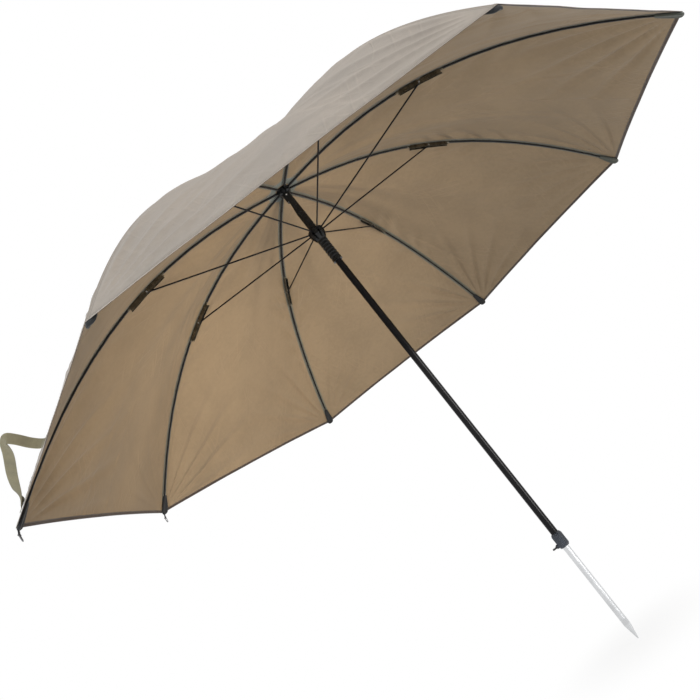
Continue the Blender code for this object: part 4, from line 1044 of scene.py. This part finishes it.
class UMBRELLA_OT_pockets(Operator):
    """Sew a webbing pocket over each rib's end, two of them with a ring tab"""

    bl_idname = "umbrella.pockets"
    bl_label = "Rib Pockets"

    def execute(self, context):
        settings = context.scene.umbrella_webbing
        black = tape_finish("pocket_webbing", settings.black, lines=(), pitch=0.0014)
        # The two lit-side pockets take a paler copy of the webbing: painted light.
        painted_light_webbing = tape_finish("faded_webbing", settings.painted_light_webbing, lines=(), pitch=0.0014)
        points, places = pocket_skin(settings)
        for rib in range(1, RIB_COUNT + 1):
            skin = Skin()
            turn = rib_turn(rib)
            ring = turned(points, turn)
            skin.grid(ring, turned(ring_normals(points), turn), places, 0, closed=True)
            for edge in (0, -1):
                self.close(skin, ring[edge], edge == 0)
            if rib in RINGED_RIBS:
                self.tab(skin, turn, RINGED_RIBS[rib])
            pocket = skin.make(f"pocket_{rib}", [painted_light_webbing if rib in PAINTED_LIGHT_POCKETS else black])
            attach(pocket, f"outer_{rib}")
            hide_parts(f"rib_pocket_{rib}")
        return {"FINISHED"}

    def close(self, skin, ring, first):
        """A shallow end over the last ring."""
        centre = ring.mean(axis=0)
        rows = np.array([centre + (ring - centre) * share for share in (1.0, 0.5, 0.02)])
        side = unit(np.cross(ring[1] - ring[0], ring[len(ring) // 3] - ring[0]))
        normals = np.broadcast_to(side if first else -side, rows.shape)
        skin.grid(rows, normals, np.zeros((*rows.shape[:2], 2)), 0, closed=True)

    def tab(self, skin, turn, twist):
        """A strip of webbing folded round the ring's bar, its two ends sewn under the pocket."""
        rib_end = rib_line(np.array(TIP_RADIUS - RIB_END_SETBACK))
        start = rib_end + (POCKET_NOSE - TAB_ROOT) * falling(TIP_SLOPE)
        down, front = falling(TAB_SLOPE), falling(TAB_SLOPE - math.pi / 2)
        thick, outer = TAB_THICKNESS, TAB_FOLD_RADIUS
        inner = outer - thick
        sweep = np.linspace(-math.pi / 2, math.pi / 2, 15)
        # The tab's outline seen from its edge, along it and across, with its two layers 0.2 mm apart
        outline = [(-TAB_LENGTH, -thick), (-0.004, -thick - 0.0001)]
        outline += [(outer * math.cos(a), outer * math.sin(a)) for a in sweep]
        outline += [(-0.004, thick + 0.0001), (-TAB_LENGTH, thick), (-TAB_LENGTH, 0.0001), (-0.003, 0.0001)]
        outline += [(inner * math.cos(a), inner * math.sin(a)) for a in sweep[::-1]]
        outline += [(-0.003, -0.0001), (-TAB_LENGTH, -0.0001)]
        rows = [
            [
                (TAB_LENGTH + x) * down + z * pinch * front + np.array([0.0, aside * TAB_WIDTH, 0.0])
                for x, z in outline
            ]
            for aside, pinch in TAB_ROWS
        ]
        points = turned(turned(np.array(rows), twist) + start, turn)
        run = np.cumsum([0] + [math.dist(a, b) for a, b in zip(outline, outline[1:])])
        across = np.array([[aside * TAB_WIDTH] for aside, _ in TAB_ROWS])
        skin.grid(points, ring_normals(points), pairs(run[None, :], across), 0, closed=True)


class UMBRELLA_OT_strap(Operator):
    """Loop the tie strap over the cloth beside the first rib"""

    bl_idname = "umbrella.strap"
    bl_label = "Tie Strap"

    def execute(self, context):
        settings = context.scene.umbrella_webbing
        canopy = context.scene.umbrella_canopy
        share, standing, twist = smooth_stations(STRAP_STATIONS, 9).T
        standing, twist = clamp(standing, 0, 2), clamp(twist, 0, 2)
        radius = hem_radius(share) - STRAP_HEM_GAP
        base = smooth_panel(radius, share)[0]
        up = unit(smooth_panel(radius - 0.001, share)[0] - base)
        normal = unit(np.cross(smooth_panel(radius, share + 0.001)[0] - base, up))
        normal *= np.sign(normal[:, 2:3])
        clear = canopy.thickness + STRAP_CLEARANCE + settings.strap_thickness / 2 + standing * STRAP_REACH
        middle = base + clear[:, None] * normal
        angle = (twist * math.pi / 2)[:, None]
        width = up * np.cos(angle) + normal * np.sin(angle)
        along = unit(np.gradient(middle, axis=0))
        width = unit(width - along * np.sum(width * along, axis=1, keepdims=True))
        upper = STRAP_QUARTER + [(-aside, rise) for aside, rise in STRAP_QUARTER[-2::-1]]
        section = np.array(upper + [(aside, -rise) for aside, rise in upper[-2:0:-1]])
        across = section[None, :, :1] * settings.strap_width / 2
        rise = section[None, :, 1:] * settings.strap_thickness / 2
        points = middle[:, None, :] + across * width[:, None, :] + rise * np.cross(along, width)[:, None, :]
        run = np.concatenate([[0], np.cumsum(np.linalg.norm(np.diff(middle, axis=0), axis=1))])
        places = pairs(run[:, None], np.abs(across[..., 0]))
        turn = rib_turn(STRAPPED_RIB)
        skin = Skin()
        skin.grid(turned(points, turn), turned(ring_normals(points), turn), places, 0, closed=True)
        thread = (0.24, 0.22, 0.13)
        webbing = tape_finish("strap_webbing", settings.olive, lines=(0.0105,), pitch=0.0013, stitch=thread)
        strap = skin.make("strap", [webbing])
        closing = bmesh.new()
        closing.from_mesh(strap.data)
        bmesh.ops.holes_fill(closing, edges=closing.edges, sides=40)
        closing.to_mesh(strap.data)
        closing.free()
        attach(strap, f"outer_{STRAPPED_RIB}")
        axis, anchor = fold_rule(STRAPPED_RIB, True, True)
        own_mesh(strap)
        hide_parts("tie_strap")
        return {"FINISHED"}


# Hardware


def rounded_copy(node, width, degrees, material, body):
    """The CAD node's mesh, smooth round and with its sharp edges rounded, standing for the node."""
    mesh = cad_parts[node].data.copy()
    mesh.shade_smooth()
    mesh.set_sharp_from_angle(angle=math.radians(degrees))
    mesh.materials.clear()
    mesh.materials.append(material)
    shell = placed(f"{node}_shell", mesh)
    rounding = shell.modifiers.new("rounding", "BEVEL")
    rounding.width = width
    rounding.segments = 2
    rounding.limit_method = "ANGLE"
    rounding.angle_limit = math.radians(degrees)
    rounding.use_clamp_overlap = True
    rounding.harden_normals = True
    graph = bpy.context.evaluated_depsgraph_get()
    shaped = bpy.data.meshes.new_from_object(shell.evaluated_get(graph))
    shell.modifiers.clear()
    shell.data = shaped
    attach(shell, body)
    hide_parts(node)


def dress(node, material):
    """A CAD node keeps its shape and takes a better material."""
    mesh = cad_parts[node].data
    mesh.materials.clear()
    mesh.materials.append(material)


class UMBRELLA_OT_hardware(Operator):
    """Finish the pole, collar, hub, runner, ribs, stretchers and rings"""

    bl_idname = "umbrella.hardware"
    bl_label = "Hardware"

    def execute(self, context):
        settings = context.scene.umbrella_hardware
        even, round_about = (0.1, 0.1, 0.1), (0.3, 0.3, 0.3)
        lacquer = metal_finish("pole_lacquer", settings.lacquer, 0.14, 0.20, metallic=0.0, depth=0.000002)
        wire = metal_finish("stretcher_lacquer", settings.lacquer, 0.28, 0.42, metallic=0.0, stretch=even)
        steel = metal_finish("bare_steel", settings.steel, 0.40, 0.44, metallic=1.0, depth=0.000001)
        ring = metal_finish("ring_steel", settings.ring, 0.24, 0.40, metallic=1.0, stretch=round_about)
        ribs = rib_finish("rib_steel_and_rod", settings.rod, settings.bracket, (0.40, 0.41, 0.42))
        black = moulded_finish("black_mouldings", settings.moulding, 0.22, 0.40)
        grey = moulded_finish("collar_moulding", settings.collar, 0.26, 0.34, grain=150.0, depth=0.00001)
        dress("hub_wire", steel)
        dress("hub_pin", steel)
        width = settings.edge_round
        rounded_copy("upper_pole", 0.5 * width, 35, lacquer, "upper")
        rounded_copy("lower_pole", 0.5 * width, 35, steel, "lower")
        for number in RINGED_RIBS:
            rounded_copy(f"guy_ring_{number}", 0.5 * width, 75, ring, f"guy_ring_{number}")
        for number in range(1, RIB_COUNT + 1):
            for place in ("inner", "outer"):
                rounded_copy(f"{place}_rib_{number}", 0.6 * width, 50, ribs, f"{place}_{number}")
            rounded_copy(f"stretcher_{number}", 0.5 * width, 50, wire, f"brace_{number}")
        rounded_copy("hub", width, 22, black, "upper")
        rounded_copy("top_cap", width, 22, black, "upper")
        rounded_copy("runner", width, 22, black, "runner")
        rounded_copy("thumbscrew", width, 22, black, "thumbscrew")
        rounded_copy("height_collar", width, 35, grey, "upper")
        return {"FINISHED"}


# Stage

# The camera's place, its view and the up side of its picture, and its lens
EYE = Vector((-0.0867, -2.1485, 0.5844))
AHEAD = Vector((0.01808, 0.97054, 0.24026))
UPWARD = Vector((0.61403, -0.20043, 0.76341))
LENS = 37.40
SENSOR = 36.0
SHIFT = (-0.0350, -0.0280)

FLOOR_HALF = 30.0
FLOOR_GAP = 0.0005
# The floor is plain white from this far round the point, and shows some of its shadow at the point
WHITE_FROM = 0.32
WHITE_AT_POINT = 0.88

# Place, aim, width, height, setting and colour of each lamp
LAMPS = {
    "key": ((3.4, -1.3, 3.9), (0.0, -0.3, 1.3), 3.0, 3.0, "key_level", (1.0, 0.98, 0.95)),
    "fill": ((-1.7, -2.3, 0.55), (0.5, 0.4, 1.35), 1.0, 1.0, "fill_level", (0.86, 0.93, 1.0)),
    "low": ((0.90, -1.20, 0.20), (-0.60, 0.55, 1.42), 0.6, 0.6, "low_level", (1.0, 0.89, 0.74)),
    "strip": ((2.0, -2.1, 1.08), (0.0, 0.0, 1.08), 0.45, 2.1, "strip_level", (1.0, 1.0, 1.0)),
}


def seen_directly(net):
    """1 for what the camera sees itself or in something clear or shiny, and 0 for what lights the rest."""
    path = net.node("ShaderNodeLightPath").outputs
    return net.highest(path["Is Camera Ray"], path["Is Glossy Ray"], path["Is Transmission Ray"])


class UMBRELLA_OT_stage(Operator):
    """Set the floor, the soft lights, the sky and the camera"""

    bl_idname = "umbrella.stage"
    bl_label = "Stage"

    def execute(self, context):
        settings = context.scene.umbrella_stage
        scene = context.scene
        scene.view_settings.view_transform = "Standard"
        self.floor(settings)
        self.sky(scene, settings)
        lamps = {name: self.lamp(name, settings, *values) for name, values in LAMPS.items()}
        lamps["strip"].visible_diffuse = False
        lamps["fill"].visible_glossy = lamps["low"].visible_glossy = False
        lamps["low"].data.spread = math.radians(55.0)
        self.camera(scene)
        return {"FINISHED"}

    def floor(self, settings):
        mesh = bpy.data.meshes.new("floor")
        corners = [(-1, -1), (1, -1), (1, 1), (-1, 1)]
        mesh.from_pydata([(x * FLOOR_HALF, y * FLOOR_HALF, 0) for x, y in corners], [], [(0, 1, 2, 3)])
        made, net, shader = finish("pale_floor", Specular_IOR_Level=0.1)
        place = net.object_place()
        clouds = clouds_of(net, place, 1.5, settings.floor, 1.0, 0.985)
        net.feed(shader, Base_Color=clouds["Colour"], Roughness=net.span(clouds["Mask"], 0, 1, 0.75, 0.85))
        away = net.node("ShaderNodeVectorMath", {0: place}, operation="LENGTH").outputs["Value"]
        white = net.node("ShaderNodeEmission", {"Color": rgb((1.0, 1.0, 1.0)), "Strength": 1.0}).outputs[0]
        share = net.times(seen_directly(net), net.span(away, 0.0, WHITE_FROM, WHITE_AT_POINT, 1.0))
        mix = net.node("ShaderNodeMixShader", {0: share, 1: shader.outputs[0], 2: white}).outputs[0]
        net.feed(made.node_tree.nodes["Material Output"], Surface=mix)
        mesh.materials.append(made)
        ground = placed("floor", mesh)
        ground.location = (0.0, 0.0, -FLOOR_GAP)

    def sky(self, scene, settings):
        world = bpy.data.worlds.new("pale sky")
        world.use_nodes = True
        scene.world = world
        net = Net(world.node_tree)
        background = world.node_tree.nodes["Background"]
        background.inputs["Color"].default_value = rgb((1.0, 1.0, 1.0))
        strength = net.span(seen_directly(net), 0.0, 1.0, settings.sky_level, 1.0, smooth=False)
        net.feed(background, Strength=strength)

    def lamp(self, name, settings, place, aim, width, height, level, tint):
        light = bpy.data.lights.new(name, "AREA")
        light.energy = getattr(settings, level)
        light.color = tint
        light.shape = "RECTANGLE"
        light.size, light.size_y = width, height
        light.cycles.is_caustics_light = False
        made = placed(name, light)
        made.location = place
        made.rotation_mode = "QUATERNION"
        made.rotation_quaternion = (Vector(place) - Vector(aim)).to_track_quat("Z", "Y")
        made.visible_camera = False
        return made

    def camera(self, scene):
        lens = bpy.data.cameras.new("camera")
        lens.lens = LENS
        lens.sensor_width = SENSOR
        lens.shift_x, lens.shift_y = SHIFT
        lens.clip_start, lens.clip_end = 0.05, 200.0
        made = placed("camera", lens)
        right = AHEAD.cross(UPWARD).normalized()
        turn = Matrix((right, right.cross(AHEAD).normalized(), -AHEAD.normalized())).transposed()
        made.matrix_world = Matrix.Translation(EYE) @ turn.to_4x4()
        scene.camera = made


STEPS = ("canopy", "pockets", "strap", "hardware", "stage")


class UMBRELLA_PT_looks(Panel):
    """Lists the umbrella's pieces and their settings"""

    bl_label = "Umbrella"
    bl_idname = "UMBRELLA_PT_looks"
    bl_space_type = "VIEW_3D"
    bl_region_type = "UI"
    bl_category = "Umbrella"

    def draw(self, context):
        for step in STEPS:
            self.layout.operator(f"umbrella.{step}")
        for name, group in SETTINGS.items():
            box = self.layout.box()
            box.label(text=group.__name__.replace("Settings", ""))
            for field in group.__annotations__:
                box.prop(getattr(context.scene, name), field)


SETTINGS = {
    "umbrella_canopy": CanopySettings,
    "umbrella_webbing": WebbingSettings,
    "umbrella_hardware": HardwareSettings,
    "umbrella_stage": StageSettings,
}
CLASSES = (
    *SETTINGS.values(), UMBRELLA_OT_canopy, UMBRELLA_OT_pockets, UMBRELLA_OT_strap, UMBRELLA_OT_hardware,
    UMBRELLA_OT_stage, UMBRELLA_PT_looks,
)


def register():
    for item in CLASSES:
        bpy.utils.register_class(item)
    for name, group in SETTINGS.items():
        setattr(bpy.types.Scene, name, PointerProperty(type=group))


def unregister():
    for name in SETTINGS:
        delattr(bpy.types.Scene, name)
    for item in reversed(CLASSES):
        bpy.utils.unregister_class(item)


def main():
    register()
    for step in STEPS:
        result = getattr(bpy.ops.umbrella, step)()
        if result != {"FINISHED"}:
            raise RuntimeError(f"{step} did not finish")
    bpy.context.view_layer.update()


if __name__ == "__main__":
    main()
